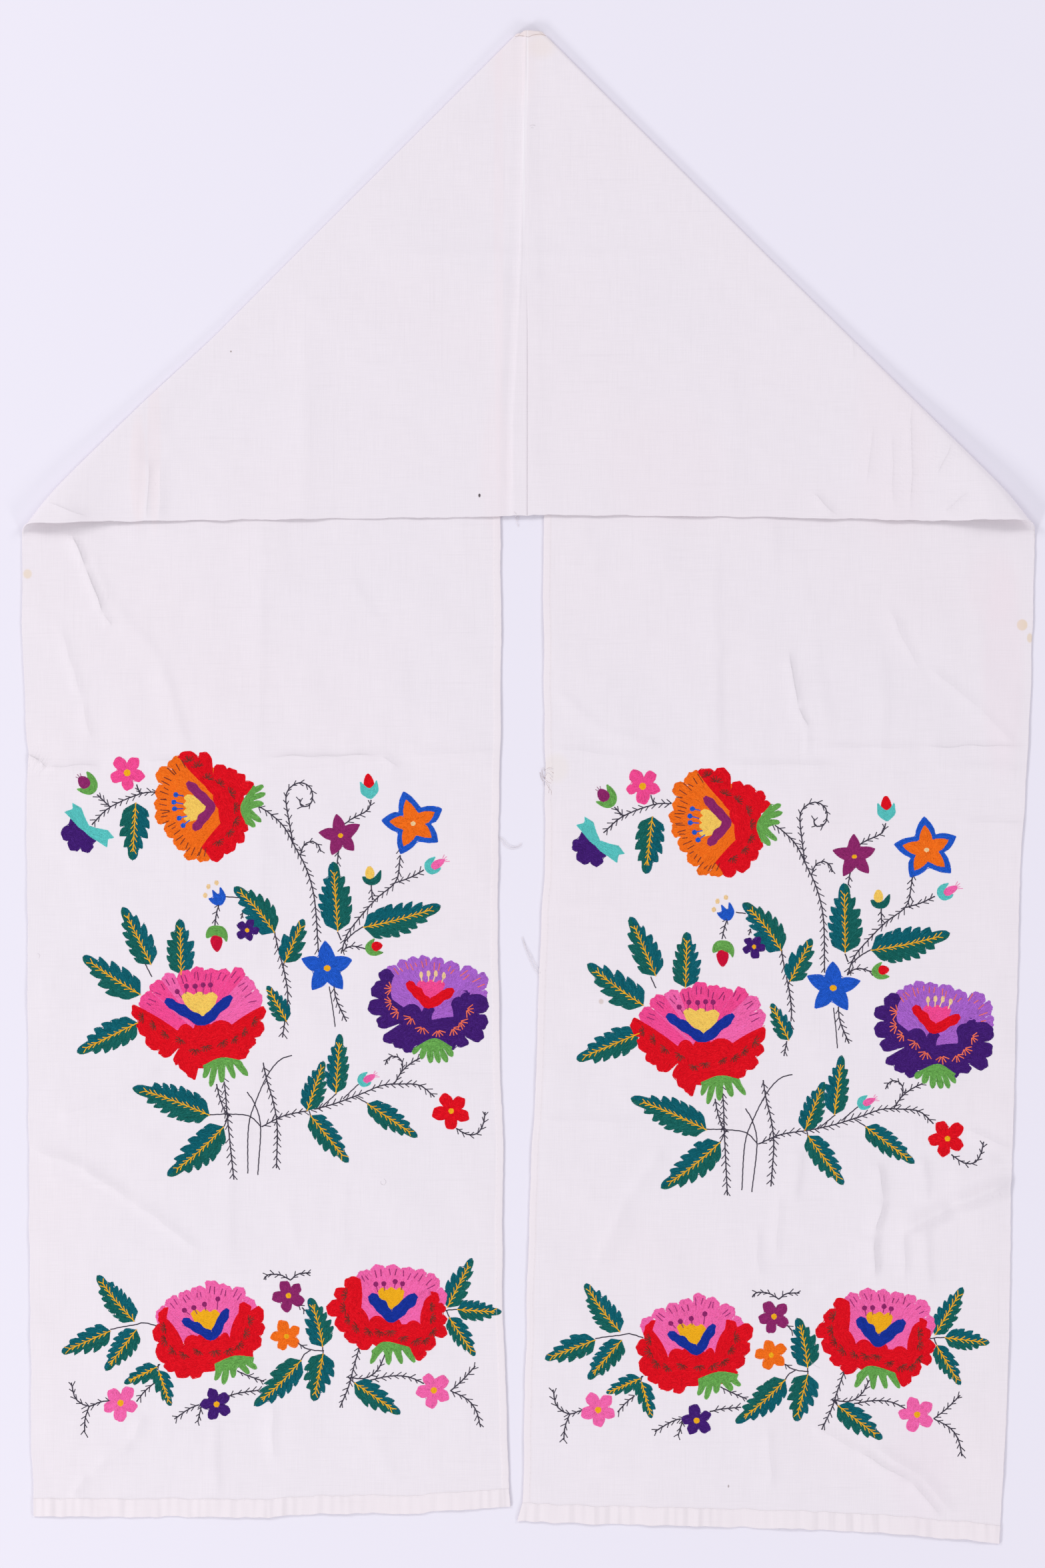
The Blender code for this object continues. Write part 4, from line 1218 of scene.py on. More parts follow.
def great_flowers(nw):
    peony(nw, "peony", 298, 1534, 0,
          [(19, 57, 3, 107, 104), (57, 84, 2, 92, 84), (84, 116, 2, 86, 80), (116, 165, 3, 86, 98)],
          ["rose", "rose", "pink", "pink", "pink", "pink", "pink", "rose", "pink", "pink"],
          [(163, 230, 4, 106, 72), (232, 232, -1, 48, 0), (234, 267, 3, 66, 90), (270, 316, 0, 68, 78), (316, 376, 4, 86, 104)], "red",
          [(-98, 28, 2), (-31, -12, 9), (-8, -9, 9), (18, -3, 7), (50, -3, 2), (98, 26, 0)],
          ((-50, 34), (7, 3), (50, 40), 15), "blue", (-26, 29, 45, 3, 1.0), "gold",
          [(-32, 47, -25, 37), (-18, 55, -19, 43), (-5, 55, -3, 44), (7, 57, 7, 42), (18, 57, 19, 45)], "burgundy",
          [(-82, 8), (-65, -3), (-48, -16), (-26, -24), (-5, -39), (11, -34), (35, -28), (52, -23), (66, -13), (81, 2)], "umber",
          "burgundy", ((6, -64), (34, -52), (64, -56), (34, -50), [(8, -84), (18, -97), (35, -91), (54, -84), (74, -80)]))
    peony(nw, "disc", 321, 1211, 90,
          [(34, 66, 2, 100, 98), (66, 108, 3, 91, 90), (108, 147, 2, 82, 84), (147, 176, 2, 90, 82)], ["orange"],
          [(176, 246, 4, 84, 58), (248, 291, 0, 48, 48), (291, 360, 4, 68, 66), (361, 361, -1, 50, 0), (362, 396, 2, 78, 98)], "red",
          [(-76, 6, -1), (-60, 19, 1), (-24, -10, 1), (-2, -7, 3), (19, 1, 1), (32, 13, 2), (80, 56, 0)],
          ((-34, 30), (1, 5), (38, 40), 14), "burgundy", (-22, 20, 44, 4, 0.8), "gold",
          [(-27, 46, -19, 36), (-16, 52, -13, 40), (-2, 59, -2, 46), (8, 60, 5, 46), (19, 57, 17, 45)], "azure",
          [(68, 37), (60, 24), (42, 10), (34, -8), (20, -24), (0, -30), (-20, -30), (-36, -22), (-50, -6)], "umber", "umber",
          ((-25, -48), (2, -40), (34, -60), (4, -47), [(-30, -62), (-22, -72), (6, -75), (21, -78), (33, -75)]), spoon=True, strokes=3)
    peony(nw, "border_a", 316, 2003, 0,
          [(28, 64, 2, 86, 84), (64, 96, 2, 80, 86), (96, 130, 2, 76, 80), (130, 162, 2, 84, 92)], ["rose"],
          [(146, 212, 3, 84, 90), (212, 258, 3, 88, 66), (258, 305, 0, 56, 50), (305, 392, 5, 62, 92), (392, 408, 1, 76, 70)], "red",
          [(-66, 26, 3), (-40, -14, 8), (-20, -1, 8), (14, -2, 8), (29, -4, 3), (42, 34, 0)],
          ((-42, 24), (3, 0), (26, 40), 14), "blue", (-30, 14, 38, 3, 0.9), "amber",
          [(-39, 38, -31, 31), (-25, 42, -20, 32), (-9, 47, -7, 37), (11, 55, 10, 39)], "burgundy",
          [(-67, 12), (-66, -6), (-55, -21), (-39, -27), (-18, -22), (6, -22), (26, -20), (41, -13), (50, 4), (56, 22)], "umber",
          "burgundy", ((6, -42), (36, -30), (66, -32), (34, -38), [(7, -68), (19, -74), (34, -64), (58, -58), (70, -50)]))
    peony(nw, "border_b", 589, 1978, 0,
          [(18, 52, 2, 90, 94), (52, 80, 2, 88, 82), (80, 132, 3, 80, 88)], ["rose"],
          [(130, 178, 3, 88, 100), (178, 232, 3, 90, 64), (232, 300, 0, 48, 50), (300, 338, 2, 78, 74), (338, 396, 4, 84, 76)], "red",
          [(-48, 60, 2), (-47, 17, 2), (-35, -3, 7), (-12, -1, 8), (14, -8, 0), (21, -8, 6), (42, -8, 2), (46, 20, 3), (58, 36, 0)],
          ((-34, 36), (-1, 4), (36, 36), 18), "blue", (-22, 18, 46, 3, 0.8), "amber",
          [(-25, 52, -22, 40), (-13, 53, -12, 42), (4, 56, 3, 46), (15, 53, 13, 43)], "burgundy",
          [(-68, 36), (-70, 16), (-64, 0), (-52, -12), (-34, -17), (-18, -18), (-3, -17), (16, -26), (34, -31), (48, -30), (58, -18),
           (57, 2), (56, 18)], "umber", "burgundy",
          ((-32, -48), (-12, -34), (26, -42), (-2, -34), [(-33, -68), (-6, -70), (14, -68), (34, -66)]))
    peony(nw, "violet", 646, 1513, 0,
          [(6, 36, 2, 84, 100), (36, 52, 1, 94, 88), (52, 90, 2, 78, 76), (90, 142, 4, 78, 90)], ["violet"],
          [(136, 168, 2, 90, 98), (169, 169, -1, 78, 0), (170, 187, 1, 92, 92), (188, 188, -1, 74, 0), (189, 204, 1, 84, 80),
           (206, 206, -1, 50, 0), (209, 248, 3, 86, 74), (248, 288, 0, 60, 58), (288, 320, 2, 66, 80), (321, 321, -1, 66, 0),
           (323, 338, 1, 90, 90), (338, 338, -1, 80, 0), (338, 354, 1, 92, 90), (354, 354, -1, 72, 0), (355, 378, 1, 88, 82),
           (380, 380, -1, 62, 0), (381, 390, 1, 66, 58)], "plum",
          [(-54, 50, -4), (-57, 14, 0), (-40, 2, 9), (-13, -5, 9), (7, -2, -2), (2, -17, 1), (34, -12, -1), (31, 5, 5), (45, 18, 3), (56, 24, 0)],
          ((-35, 40), (-2, 8), (35, 29), 15), "red", (-21, 22, 42, 3, 0.9), "pink",
          [(-14, 51, -13, 41), (-3, 53, -3, 41), (8, 53, 4, 41), (20, 50, 17, 39)], "cream",
          [(-58, 30), (-58, 10), (-48, -3), (-28, -13), (-12, -27), (11, -32), (33, -29), (44, -19), (54, -1)], "coral", "coral",
          ((-24, -58), (6, -44), (34, -58), (2, -50), [(-27, -68), (-14, -76), (0, -82), (13, -82), (25, -81), (34, -72)]),
          spoon="loop")


# How far single motifs of the right leg lie from where the left leg's layout would put them.
OFFSETS = {
    "bud_plum": (8, 8), "pink_top": (1, 5), "half": (-1, 10), "leaf_down": (5, 5), "disc": (4, 2),
    "star_burgundy": (2, -1), "bud_aqua": (3, -2), "star_orange": (0, 1), "bud_yellow": (-3, 0), "bud_pink": (2, -1),
    "star_blue": (1, -2), "peony": (-2, 4), "violet": (2, -2), "flower_red": (-3, 0), "border_pink": (-5, -4),
    "border_plum": (-2, 2), "border_burgundy": (-3, 3), "border_orange": (-1, 0), "border_pink2": (0, -4),
}


def embroider(nw):
    """The whole design of one leg, on the left leg's places."""
    F, R = nw.feather, nw.run
    # stems first: what is sewn over them hides them
    nw.begin("stems", OFFSETS)
    F([(272, 1187), (237, 1188), (210, 1191), (165, 1211), (138, 1237)])
    F([(210, 1190), (205, 1177)], tick=7)
    F([(166, 1211), (146, 1192)], every=8)
    F([(384, 1208), (402, 1218), (425, 1239), (442, 1269), (460, 1304), (472, 1349), (478, 1428)])
    F([(440, 1266), (434, 1234), (429, 1196), (437, 1180), (452, 1174), (466, 1182), (469, 1197), (464, 1208), (452, 1209), (450, 1199)],
      every=11, tick=8)
    F([(451, 1282), (456, 1268), (468, 1262), (478, 1268), (481, 1277)], tick=8)
    F([(517, 1236), (530, 1227), (546, 1219), (554, 1212), (557, 1200)], tick=9)
    F([(508, 1276), (506, 1296)], tick=8)
    F([(602, 1258), (600, 1290), (594, 1322), (566, 1347), (540, 1376), (521, 1402), (512, 1430)])
    F([(594, 1324), (616, 1316), (636, 1305)], tick=9)
    F([(557, 1328), (559, 1350)], tick=8)
    F([(512, 1427), (528, 1419), (548, 1423)], tick=8)
    R([(545, 1390), (530, 1400), (518, 1412)], "slate")
    R([(505, 1394), (512, 1410)], "slate")
    F([(412, 1398), (418, 1425), (427, 1459), (432, 1494), (428, 1528), (424, 1556)])
    R([(427, 1442), (424, 1452)], "slate")
    R([(402, 1350), (338, 1345), (326, 1346)], "slate", 1.2)
    F([(330, 1352), (325, 1370), (322, 1392)], tick=8)
    F([(366, 1364), (362, 1378)], tick=6)
    F([(501, 1478), (505, 1500), (520, 1532)])
    R([(494, 1480), (499, 1510), (503, 1540)], "slate", 1.1)
    R([(215, 1440), (228, 1465)], "slate", 1.2)
    # foot of the bouquet
    F([(333, 1598), (338, 1634), (341, 1672), (346, 1720), (351, 1769)], over=False)
    F([(325, 1626), (331, 1650), (340, 1672)], tick=8)
    F([(395, 1594), (401, 1622), (410, 1652), (416, 1690), (415, 1752)])
    R([(315, 1672), (345, 1671), (374, 1674), (392, 1690)], "slate", 1.2)
    R([(336, 1690), (344, 1672)], "slate", 1.2)
    R([(371, 1638), (382, 1655), (391, 1690), (387, 1762)], "slate", 1.2)
    R([(438, 1583), (420, 1590), (402, 1612), (384, 1652), (373, 1690), (372, 1760)], "slate", 1.2)
    F([(393, 1690), (425, 1674), (466, 1665), (500, 1656), (541, 1641), (573, 1628), (600, 1626), (630, 1628), (652, 1645)])
    F([(592, 1625), (603, 1607), (618, 1594), (640, 1582)], tick=8)
    F([(603, 1607), (604, 1595), (599, 1587), (590, 1584), (582, 1588), (578, 1597)], tick=7, every=9)
    R([(462, 1664), (470, 1664)], "slate", 1.2)
    R([(505, 1640), (480, 1663)], "slate", 1.2)
    R([(538, 1626), (515, 1648)], "slate", 1.2)
    R([(552, 1655), (534, 1645)], "slate", 1.2)
    R([(466, 1674), (464, 1666)], "slate", 1.2)
    F([(681, 1690), (700, 1701), (716, 1700), (725, 1686), (728, 1668)], tick=8)
    # lower border
    R([(166, 1994), (184, 1990), (203, 1987), (216, 1984), (237, 1989)], "slate", 1.2)
    F([(232, 2074), (218, 2086), (205, 2102)], tick=9)
    R([(236, 2050), (240, 2046)], "slate", 1.2)
    F([(170, 2100), (150, 2103), (133, 2109), (114, 2098), (107, 2074)], tick=9)
    F([(134, 2109), (128, 2128), (127, 2148)], tick=9)
    F([(342, 2094), (360, 2089), (388, 2085)], tick=9)
    F([(308, 2104), (286, 2112), (262, 2128)], tick=9)
    F([(303, 2106), (297, 2132)], tick=8)
    F([(356, 2056), (372, 2063), (396, 2072)], tick=8)
    R([(237, 2055), (238, 2046)], "slate", 1.2)
    F([(540, 2018), (531, 2050), (523, 2080), (510, 2111)], tick=9)
    F([(522, 2066), (548, 2067), (567, 2054), (580, 2026)], tick=9)
    F([(556, 2070), (585, 2064), (612, 2065), (636, 2075)], tick=9)
    R([(532, 2074), (524, 2067)], "slate", 1.2)
    F([(676, 2086), (694, 2070), (713, 2049)], tick=9)
    F([(676, 2086), (700, 2098), (714, 2115), (721, 2140)], tick=9)
    F([(436, 1920), (420, 1912), (402, 1912), (396, 1919)], tick=8)
    F([(436, 1920), (447, 1911), (466, 1909)], tick=8)
    F([(446, 1954), (458, 1966)], tick=8)
    F([(447, 2014), (458, 2022)], tick=8)
    R([(458, 2022), (470, 2025), (486, 2026)], "slate", 1.2)
    R([(452, 2040), (456, 2032), (466, 2025)], "slate", 1.2)
    R([(484, 2018), (485, 2032)], "slate", 1.2)
    R([(664, 1967), (672, 1965), (687, 1964)], "slate", 1.2)
    R([(670, 1966), (675, 1978)], "slate", 1.2)
    # leaves
    leaf(nw, "leaf_down", (204, 1204), (199, 1291), 45, "left", 4)
    leaf(nw, "leaf_a", (507, 1397), (500, 1292), 50, "left", 5)
    leaf(nw, "leaf_b", (545, 1391), (662, 1359), 50, "left", 6, 0.02)
    leaf(nw, "leaf_c", (412, 1399), (351, 1330), 44, "left", 5, 0.04)
    leaf(nw, "leaf_d", (427, 1444), (456, 1378), 36, "left", 3)
    leaf(nw, "leaf_e", (430, 1532), (401, 1478), 29, "right", 4)
    leaf(nw, "leaf_f", (227, 1447), (184, 1360), 42, "right", 4)
    leaf(nw, "leaf_g", (272, 1462), (270, 1378), 42, "right", 4)
    leaf(nw, "leaf_h", (211, 1492), (124, 1434), 46, "right", 4, -0.02)
    leaf(nw, "leaf_i", (207, 1534), (115, 1579), 44, "right", 5)
    leaf(nw, "leaf_j", (315, 1673), (199, 1631), 48, "right", 6, 0.02)
    leaf(nw, "leaf_k", (336, 1690), (251, 1764), 46, "right", 5, -0.03)
    leaf(nw, "leaf_l", (461, 1666), (486, 1591), 34, "left", 5)
    leaf(nw, "leaf_m", (504, 1640), (510, 1550), 35, "left", 5)
    leaf(nw, "leaf_n", (466, 1673), (523, 1744), 36, "left", 5)
    leaf(nw, "leaf_o", (551, 1655), (627, 1706), 34, "left", 5)
    leaf(nw, "leaf_p", (202, 1982), (146, 1912), 38, "right", 6, -0.03)
    leaf(nw, "leaf_q", (166, 1996), (92, 2029), 37, "right", 4)
    leaf(nw, "leaf_r", (205, 1994), (158, 2056), 36, "right", 5)
    leaf(nw, "leaf_s", (236, 2050), (186, 2075), 28, "right", 3)
    leaf(nw, "leaf_t", (238, 2055), (256, 2109), 28, "left", 3)
    leaf(nw, "leaf_u", (484, 2020), (465, 1946), 40, "left", 4, 0.03)
    leaf(nw, "leaf_v", (452, 2040), (381, 2109), 40, "left", 5, -0.03)
    leaf(nw, "leaf_w", (485, 2030), (471, 2102), 44, "left", 4)
    leaf(nw, "leaf_x", (671, 1961), (709, 1887), 34, "left", 4)
    leaf(nw, "leaf_y", (686, 1964), (753, 1968), 32, "left", 4)
    leaf(nw, "leaf_z", (674, 1976), (713, 2034), 29, "left", 4)
    leaf(nw, "leaf_1", (532, 2074), (601, 2121), 36, "left", 4)
    # small flowers
    small_flower(nw, "pink_top", 191, 1159, 26.5, "pink", 20)
    star(nw, "star_burgundy", 511, 1253, 33, "burgundy", 8, centre="amber", eye=0.12)
    star(nw, "star_orange", 620, 1235, 49, "azure", 12, inner="orange", centre="cream", eye=0.08)
    star(nw, "star_blue", 491, 1452, 41.5, "azure", 0, centre="amber", eye=0.13)
    small_flower(nw, "plum_small", 371, 1395, 18, "plum", 30, 5, "amber", eye=0.18)
    small_flower(nw, "flower_red", 677, 1666, 28, "red", 10, 5, "amber", eye=0.15)
    small_flower(nw, "border_pink", 181, 2104, 27, "rose", 18, 5, "amber", eye=0.18)
    small_flower(nw, "border_plum", 325, 2106, 24, "plum", 0, 5, "amber", eye=0.19)
    small_flower(nw, "border_burgundy", 433, 1943, 25, "burgundy", 10, 5, "amber", eye=0.17)
    small_flower(nw, "border_orange", 430, 2004, 24, "orange", 0, 5, "amber", eye=0.16)
    small_flower(nw, "border_pink2", 651, 2085, 27, "rose", 6, 5, "amber", eye=0.18)
    # buds
    bud(nw, "bud_plum", 142, 1189, 40, 36, "burgundy", "green", "wrap", "burgundy")
    bud(nw, "bud_aqua", 556, 1199, 6, 40, "red", "aqua", "cup")
    bud(nw, "bud_yellow", 558, 1328, 4, 30, "gold", "sea", "horn")
    bud(nw, "bud_pink", 639, 1306, -58, 36, "rose", "aqua", "long", "rose", 4)
    bud(nw, "bud_red", 548, 1424, -80, 29, "red", "green", "wrap")
    bud(nw, "bud_hang", 324, 1388, 184, 40, "crimson", "green", "cap")
    bud(nw, "bud_blue", 332, 1358, 24, 27, "azure", "azure", "tulip")
    bud(nw, "bud_foot", 538, 1625, -62, 31, "rose", "aqua", "long", "rose", 4)
    nw.begin("dots", OFFSETS)
    for dx, dy in ((308, 1343), (313, 1330), (325, 1324)):
        nw.region([(dx + 3.6 * math.cos(t), dy + 4.4 * math.sin(t)) for t in np.linspace(0, 2 * math.pi, 11)[:-1]], "cream", "contour")
    # the half-opened flower: a dark flower under turquoise sepals
    rng = nw.begin("half", OFFSETS)
    rows = lobed(rng, 190, 354, 3, lambda a: 31, 0.26, 0.04, 0.5, 9)
    nw.region(local(122, 1249, -38, [p for row in rows for p in row] + [(27, 9), (0, 14), (-27, 9)]), "plum", "contour")
    for sign in (-1, 1):
        sepal = [(0, -5), (0, 6), (sign * 12, 11), (sign * 26, 19), (sign * 41, 16), (sign * 35, 9), (sign * 42, -2), (sign * 24, -4), (sign * 10, -6)]
        nw.region(local(130, 1243, -40, sepal), "aqua", "contour", tone=0.04 * sign)
    great_flowers(nw)


def right_place(x, y):
    """The second leg repeats the layout a little turned and lower."""
    return x + 770 - 0.0535 * (y - 1210) + 0.005 * (x - 300), y + 21 + 0.055 * (x - 300)


def thread_material(name):
    (r, g, b), spread = THREADS[name]
    m = bpy.data.materials.new("thread_" + name)
    m.use_nodes = True
    nodes, links = m.node_tree.nodes, m.node_tree.links
    s = nodes["Principled BSDF"]
    tone = nodes.new("ShaderNodeAttribute")
    tone.attribute_name = "tone"
    ramp = nodes.new("ShaderNodeValToRGB")
    mid = srgb(r, g, b)
    ramp.color_ramp.elements[0].position = 0.0
    ramp.color_ramp.elements[0].color = (*[c * (1 - spread) * 0.85 for c in mid], 1)
    ramp.color_ramp.elements[1].position = 1.0
    ramp.color_ramp.elements[1].color = (*[min(1, c * (1 + spread) + 0.035 * spread) for c in mid], 1)
    centre = ramp.color_ramp.elements.new(0.5)
    centre.color = (*mid, 1)
    coord = nodes.new("ShaderNodeTexCoord")
    noise = nodes.new("ShaderNodeTexNoise")
    noise.inputs["Scale"].default_value = 1250
    noise.inputs["Detail"].default_value = 1.0
    add = nodes.new("ShaderNodeMath")
    add.operation = "MULTIPLY_ADD"
    add.inputs[1].default_value = 0.95
    links.new(coord.outputs["Object"], noise.inputs["Vector"])
    links.new(noise.outputs["Fac"], add.inputs[0])
    off = nodes.new("ShaderNodeMath")
    off.operation = "SUBTRACT"
    off.inputs[1].default_value = 0.475
    links.new(tone.outputs["Fac"], off.inputs[0])
    links.new(off.outputs[0], add.inputs[2])
    links.new(add.outputs[0], ramp.inputs["Fac"])
    links.new(ramp.outputs["Color"], s.inputs["Base Color"])
    s.inputs["Roughness"].default_value = 0.55
    s.inputs["Specular IOR Level"].default_value = 0.10
    s.inputs["Sheen Weight"].default_value = 0.0
    s.inputs["Sheen Roughness"].default_value = 0.4
    bump = nodes.new("ShaderNodeBump")
    bump.inputs["Strength"].default_value = 0.5
    bump.inputs["Distance"].default_value = 0.0001
    links.new(noise.outputs["Fac"], bump.inputs["Height"])
    links.new(bump.outputs["Normal"], s.inputs["Normal"])
    return m


# ---- materials ------------------------------------------------------------------------------------------
def srgb(r, g, b):
    return tuple(((c / 255 + 0.055) / 1.055) ** 2.4 if c > 10 else c / 255 / 12.92 for c in (r, g, b))


class Nodes:
    """Short names for building a material."""

    def __init__(self, name):
        self.m = bpy.data.materials.new(name)
        self.m.use_nodes = True
        self.tree = self.m.node_tree
        self.shader = self.tree.nodes["Principled BSDF"]

    def new(self, kind, **inputs):
        node = self.tree.nodes.new(kind)
        for key, value in inputs.items():
            node.inputs[key.replace("_", " ")].default_value = value
        return node

    def link(self, a, b):
        self.tree.links.new(a, b)

    def math(self, how, a, b=None, c=None, clamp=False):
        node = self.tree.nodes.new("ShaderNodeMath")
        node.operation = how
        node.use_clamp = clamp
        for i, value in enumerate((a, b, c)):
            if value is None:
                continue
            if isinstance(value, (int, float)):
                node.inputs[i].default_value = value
            else:
                self.link(value, node.inputs[i])
        return node.outputs[0]

    def noise(self, vector, scale, detail=2.0, rough=0.5):
        node = self.new("ShaderNodeTexNoise", Scale=scale, Detail=detail, Roughness=rough)
        self.link(vector, node.inputs["Vector"])
        return node.outputs["Fac"]

    def stretch(self, vector, x, y, z):
        node = self.tree.nodes.new("ShaderNodeVectorMath")
        node.operation = "MULTIPLY"
        self.link(vector, node.inputs[0])
        node.inputs[1].default_value = (x, y, z)
        return node.outputs[0]

    def near(self, vector, x, y, across, along, soft):
        """1 inside an ellipse on the chart, falling to 0 over `soft` of its size."""
        node = self.tree.nodes.new("ShaderNodeVectorMath")
        node.operation = "SUBTRACT"
        self.link(vector, node.inputs[0])
        node.inputs[1].default_value = (float(wx(x)), float(wy(y)), 0)
        far = self.tree.nodes.new("ShaderNodeVectorMath")
        far.operation = "LENGTH"
        self.link(self.stretch(node.outputs[0], 1 / (across * UNIT), 1 / (along * UNIT), 0), far.inputs[0])
        ramp = self.new("ShaderNodeMapRange")
        ramp.interpolation_type = "SMOOTHSTEP"
        self.link(far.outputs["Value"], ramp.inputs["Value"])
        ramp.inputs["From Min"].default_value = 1.0
        ramp.inputs["From Max"].default_value = 1.0 + soft
        ramp.inputs["To Min"].default_value = 1.0
        ramp.inputs["To Max"].default_value = 0.0
        return ramp.outputs["Result"]

    def mix(self, fac, a, b, how="MIX"):
        node = self.tree.nodes.new("ShaderNodeMix")
        node.data_type = "RGBA"
        node.blend_type = how
        for socket, value in ((node.inputs["Factor"], fac), (node.inputs["A"], None), (node.inputs["B"], None)):
            if value is None:
                continue
            if isinstance(value, (int, float)):
                socket.default_value = value
            else:
                self.link(value, socket)
        for socket, value in ((node.inputs[6], a), (node.inputs[7], b)):
            if isinstance(value, tuple):
                socket.default_value = (*value, 1)
            else:
                self.link(value, socket)
        return node.outputs[2]


COTTON = srgb(240, 233, 237)


def cotton_material():
    """Homespun cotton: threads of uneven thickness both ways, slubs, a little yellowing, a few old marks and tints, and
    a painted highlight along the seam's ridge.
    """
    n = Nodes("cotton_cloth")
    where = n.new("ShaderNodeTexCoord").outputs["Object"]
    warp = n.noise(n.stretch(where, 1700, 42, 1), 1.0, 1.5, 0.6)
    weft = n.noise(n.stretch(where, 46, 1800, 1), 1.0, 1.5, 0.6)
    slub_y = n.noise(n.stretch(where, 430, 9, 1), 1.0, 1.0, 0.5)
    slub_x = n.noise(n.stretch(where, 11, 380, 1), 1.0, 1.0, 0.5)
    threads = n.math("ADD", n.math("MULTIPLY", warp, 0.5), n.math("MULTIPLY", weft, 0.5))
    slubs = n.math("MAXIMUM", n.math("MULTIPLY_ADD", slub_y, 6.0, -3.75, True), n.math("MULTIPLY_ADD", slub_x, 6.0, -3.75, True))
    cloud = n.noise(where, 7.0, 3.0, 0.55)
    cloud2 = n.noise(n.stretch(where, 3.0, 5.0, 1), 1.0, 2.0, 0.5)
    colour = n.mix(n.math("MULTIPLY_ADD", cloud, 1.6, -0.3, True), srgb(236, 230, 234), srgb(238, 231, 235))
    colour = n.mix(n.math("MULTIPLY_ADD", cloud2, 1.3, -0.55, True), colour, srgb(239, 229, 232))
    shade = n.math("MULTIPLY_ADD", threads, 0.16, 0.92)
    shade = n.math("SUBTRACT", shade, n.math("MULTIPLY", slubs, 0.020))
    grey = n.new("ShaderNodeCombineColor")
    for i in range(3):
        n.link(shade, grey.inputs[i])
    colour = n.mix(1.0, colour, grey.outputs[0], "MULTIPLY")
    edge = n.new("ShaderNodeAttribute")
    edge.attribute_name = "hem"
    colour = n.mix(n.math("MULTIPLY", edge.outputs["Fac"], 0.45), colour, srgb(243, 233, 234))
    # stains, specks and tints, and the painted highlight along the seam's ridge
    for x, y, across, along, soft, tint, how_much in MARKS_AND_PAINTED_HIGHLIGHTS:
        fac = n.math("MULTIPLY", n.near(where, x, y, across, along, soft), how_much)
        colour = n.mix(fac, colour, srgb(*tint))
    n.link(colour, n.shader.inputs["Base Color"])
    n.shader.inputs["Roughness"].default_value = 0.88
    n.shader.inputs["Specular IOR Level"].default_value = 0.25
    n.shader.inputs["Sheen Weight"].default_value = 0.12
    n.shader.inputs["Sheen Roughness"].default_value = 0.5
    height = n.math("MULTIPLY_ADD", slubs, 0.35, threads)
    height = n.math("MULTIPLY", height, 0.00009)
    for k in range(3):  # the sharp lines of the creases
        fold = n.new("ShaderNodeAttribute")
        fold.attribute_name = "fold_%d" % k
        parts = n.new("ShaderNodeSeparateXYZ")
        n.link(fold.outputs["Vector"], parts.inputs[0])
        d, size = parts.outputs["X"], parts.outputs["Y"]
        # steeper on one side than on the other
        near = n.math("MAXIMUM", n.math("MULTIPLY", d, -0.42), n.math("MULTIPLY", d, 0.17))
        near = n.math("EXPONENT", n.math("MULTIPLY", near, -1.0))
        height = n.math("MULTIPLY_ADD", n.math("MULTIPLY", near, size), 0.00092, height)
    # the small gathers of the foot hems
    gather = n.noise(n.stretch(where, 1.0 / (13 * UNIT), 14, 1), 1.0, 0.0, 0.45)
    gather = n.math("MULTIPLY", gather, n.math("GREATER_THAN", edge.outputs["Fac"], 0.9))
    uneven = n.math("MULTIPLY_ADD", n.noise(n.stretch(where, 11, 1, 1), 1.0, 1.0, 0.5), 5.0, -1.9, True)
    height = n.math("MULTIPLY_ADD", n.math("MULTIPLY", gather, n.math("MULTIPLY_ADD", uneven, 0.8, 0.25)), 0.0022, height)
    bump = n.new("ShaderNodeBump", Strength=1.0, Distance=1.0)
    n.link(height, bump.inputs["Height"])
    n.link(bump.outputs["Normal"], n.shader.inputs["Normal"])
    return n.m


MARKS_AND_PAINTED_HIGHLIGHTS = [  # x, y, half across, half along, soft edge, colour, strength: stains, specks and pinkish tints on the cotton, and a painted highlight along the seam's ridge
    # old stains and specks, then a tan stain and a tan strip at the apex
    (41.5, 861, 4.5, 5, 0.8, (232, 212, 182), 0.62),
    (1533.5, 937.5, 6.6, 7, 0.4, (232, 208, 175), 0.72),
    (1545, 957, 3, 5, 0.8, (228, 205, 170), 0.6),
    (719.5, 743.5, 1.2, 2.0, 0.8, (34, 24, 30), 0.95),
    (347, 528, 0.8, 0.9, 1.0, (120, 100, 90), 0.7),
    (48, 752, 1.2, 0.7, 1.0, (120, 100, 90), 0.6),
    (1093, 2229, 0.8, 1.4, 1.0, (120, 100, 90), 0.6),
    (902, 1502, 2.4, 2.6, 1.0, (205, 185, 175), 0.6),
    (811, 71, 9, 7, 2.6, (238, 224, 214), 0.42),
    (790, 50, 34, 5, 0.6, (232, 216, 208), 0.55),
    # pinkish tints, several of them along creases and folds
    (770, 90, 22, 40, 1.3, (242, 228, 228), 0.27),
    (208, 705, 9, 60, 0.7, (241, 224, 224), 0.27),
    (232, 660, 7, 90, 0.8, (241, 224, 224), 0.24),
    (1505, 1010, 22, 110, 0.8, (238, 222, 228), 0.27),
    (1490, 880, 26, 40, 0.9, (240, 224, 229), 0.18),
    (748, 330, 5, 300, 0.8, (240, 225, 228), 0.24),
    (744, 700, 16, 70, 0.9, (240, 225, 228), 0.21),
    (1340, 650, 40, 120, 0.8, (240, 226, 230), 0.18),
    (1380, 2200, 30, 60, 1.0, (236, 222, 230), 0.21),
    # painted highlight: a lighter line along the lit slope of the seam's ridge at the top of the roof
    (791.2, 98, 1.0, 44, 0.9, (250, 246, 248), 0.45),
    (788.2, 170, 1.0, 46, 0.9, (250, 246, 248), 0.45),
    (785.6, 262, 1.2, 60, 0.9, (250, 246, 248), 0.52),
    # the worn patch by the frayed selvedge, and one more pinkish tint
    (834, 1152, 13, 14, 1.0, (236, 227, 218), 0.40),
    (1000, 700, 60, 60, 1.0, (240, 226, 230), 0.13),
]


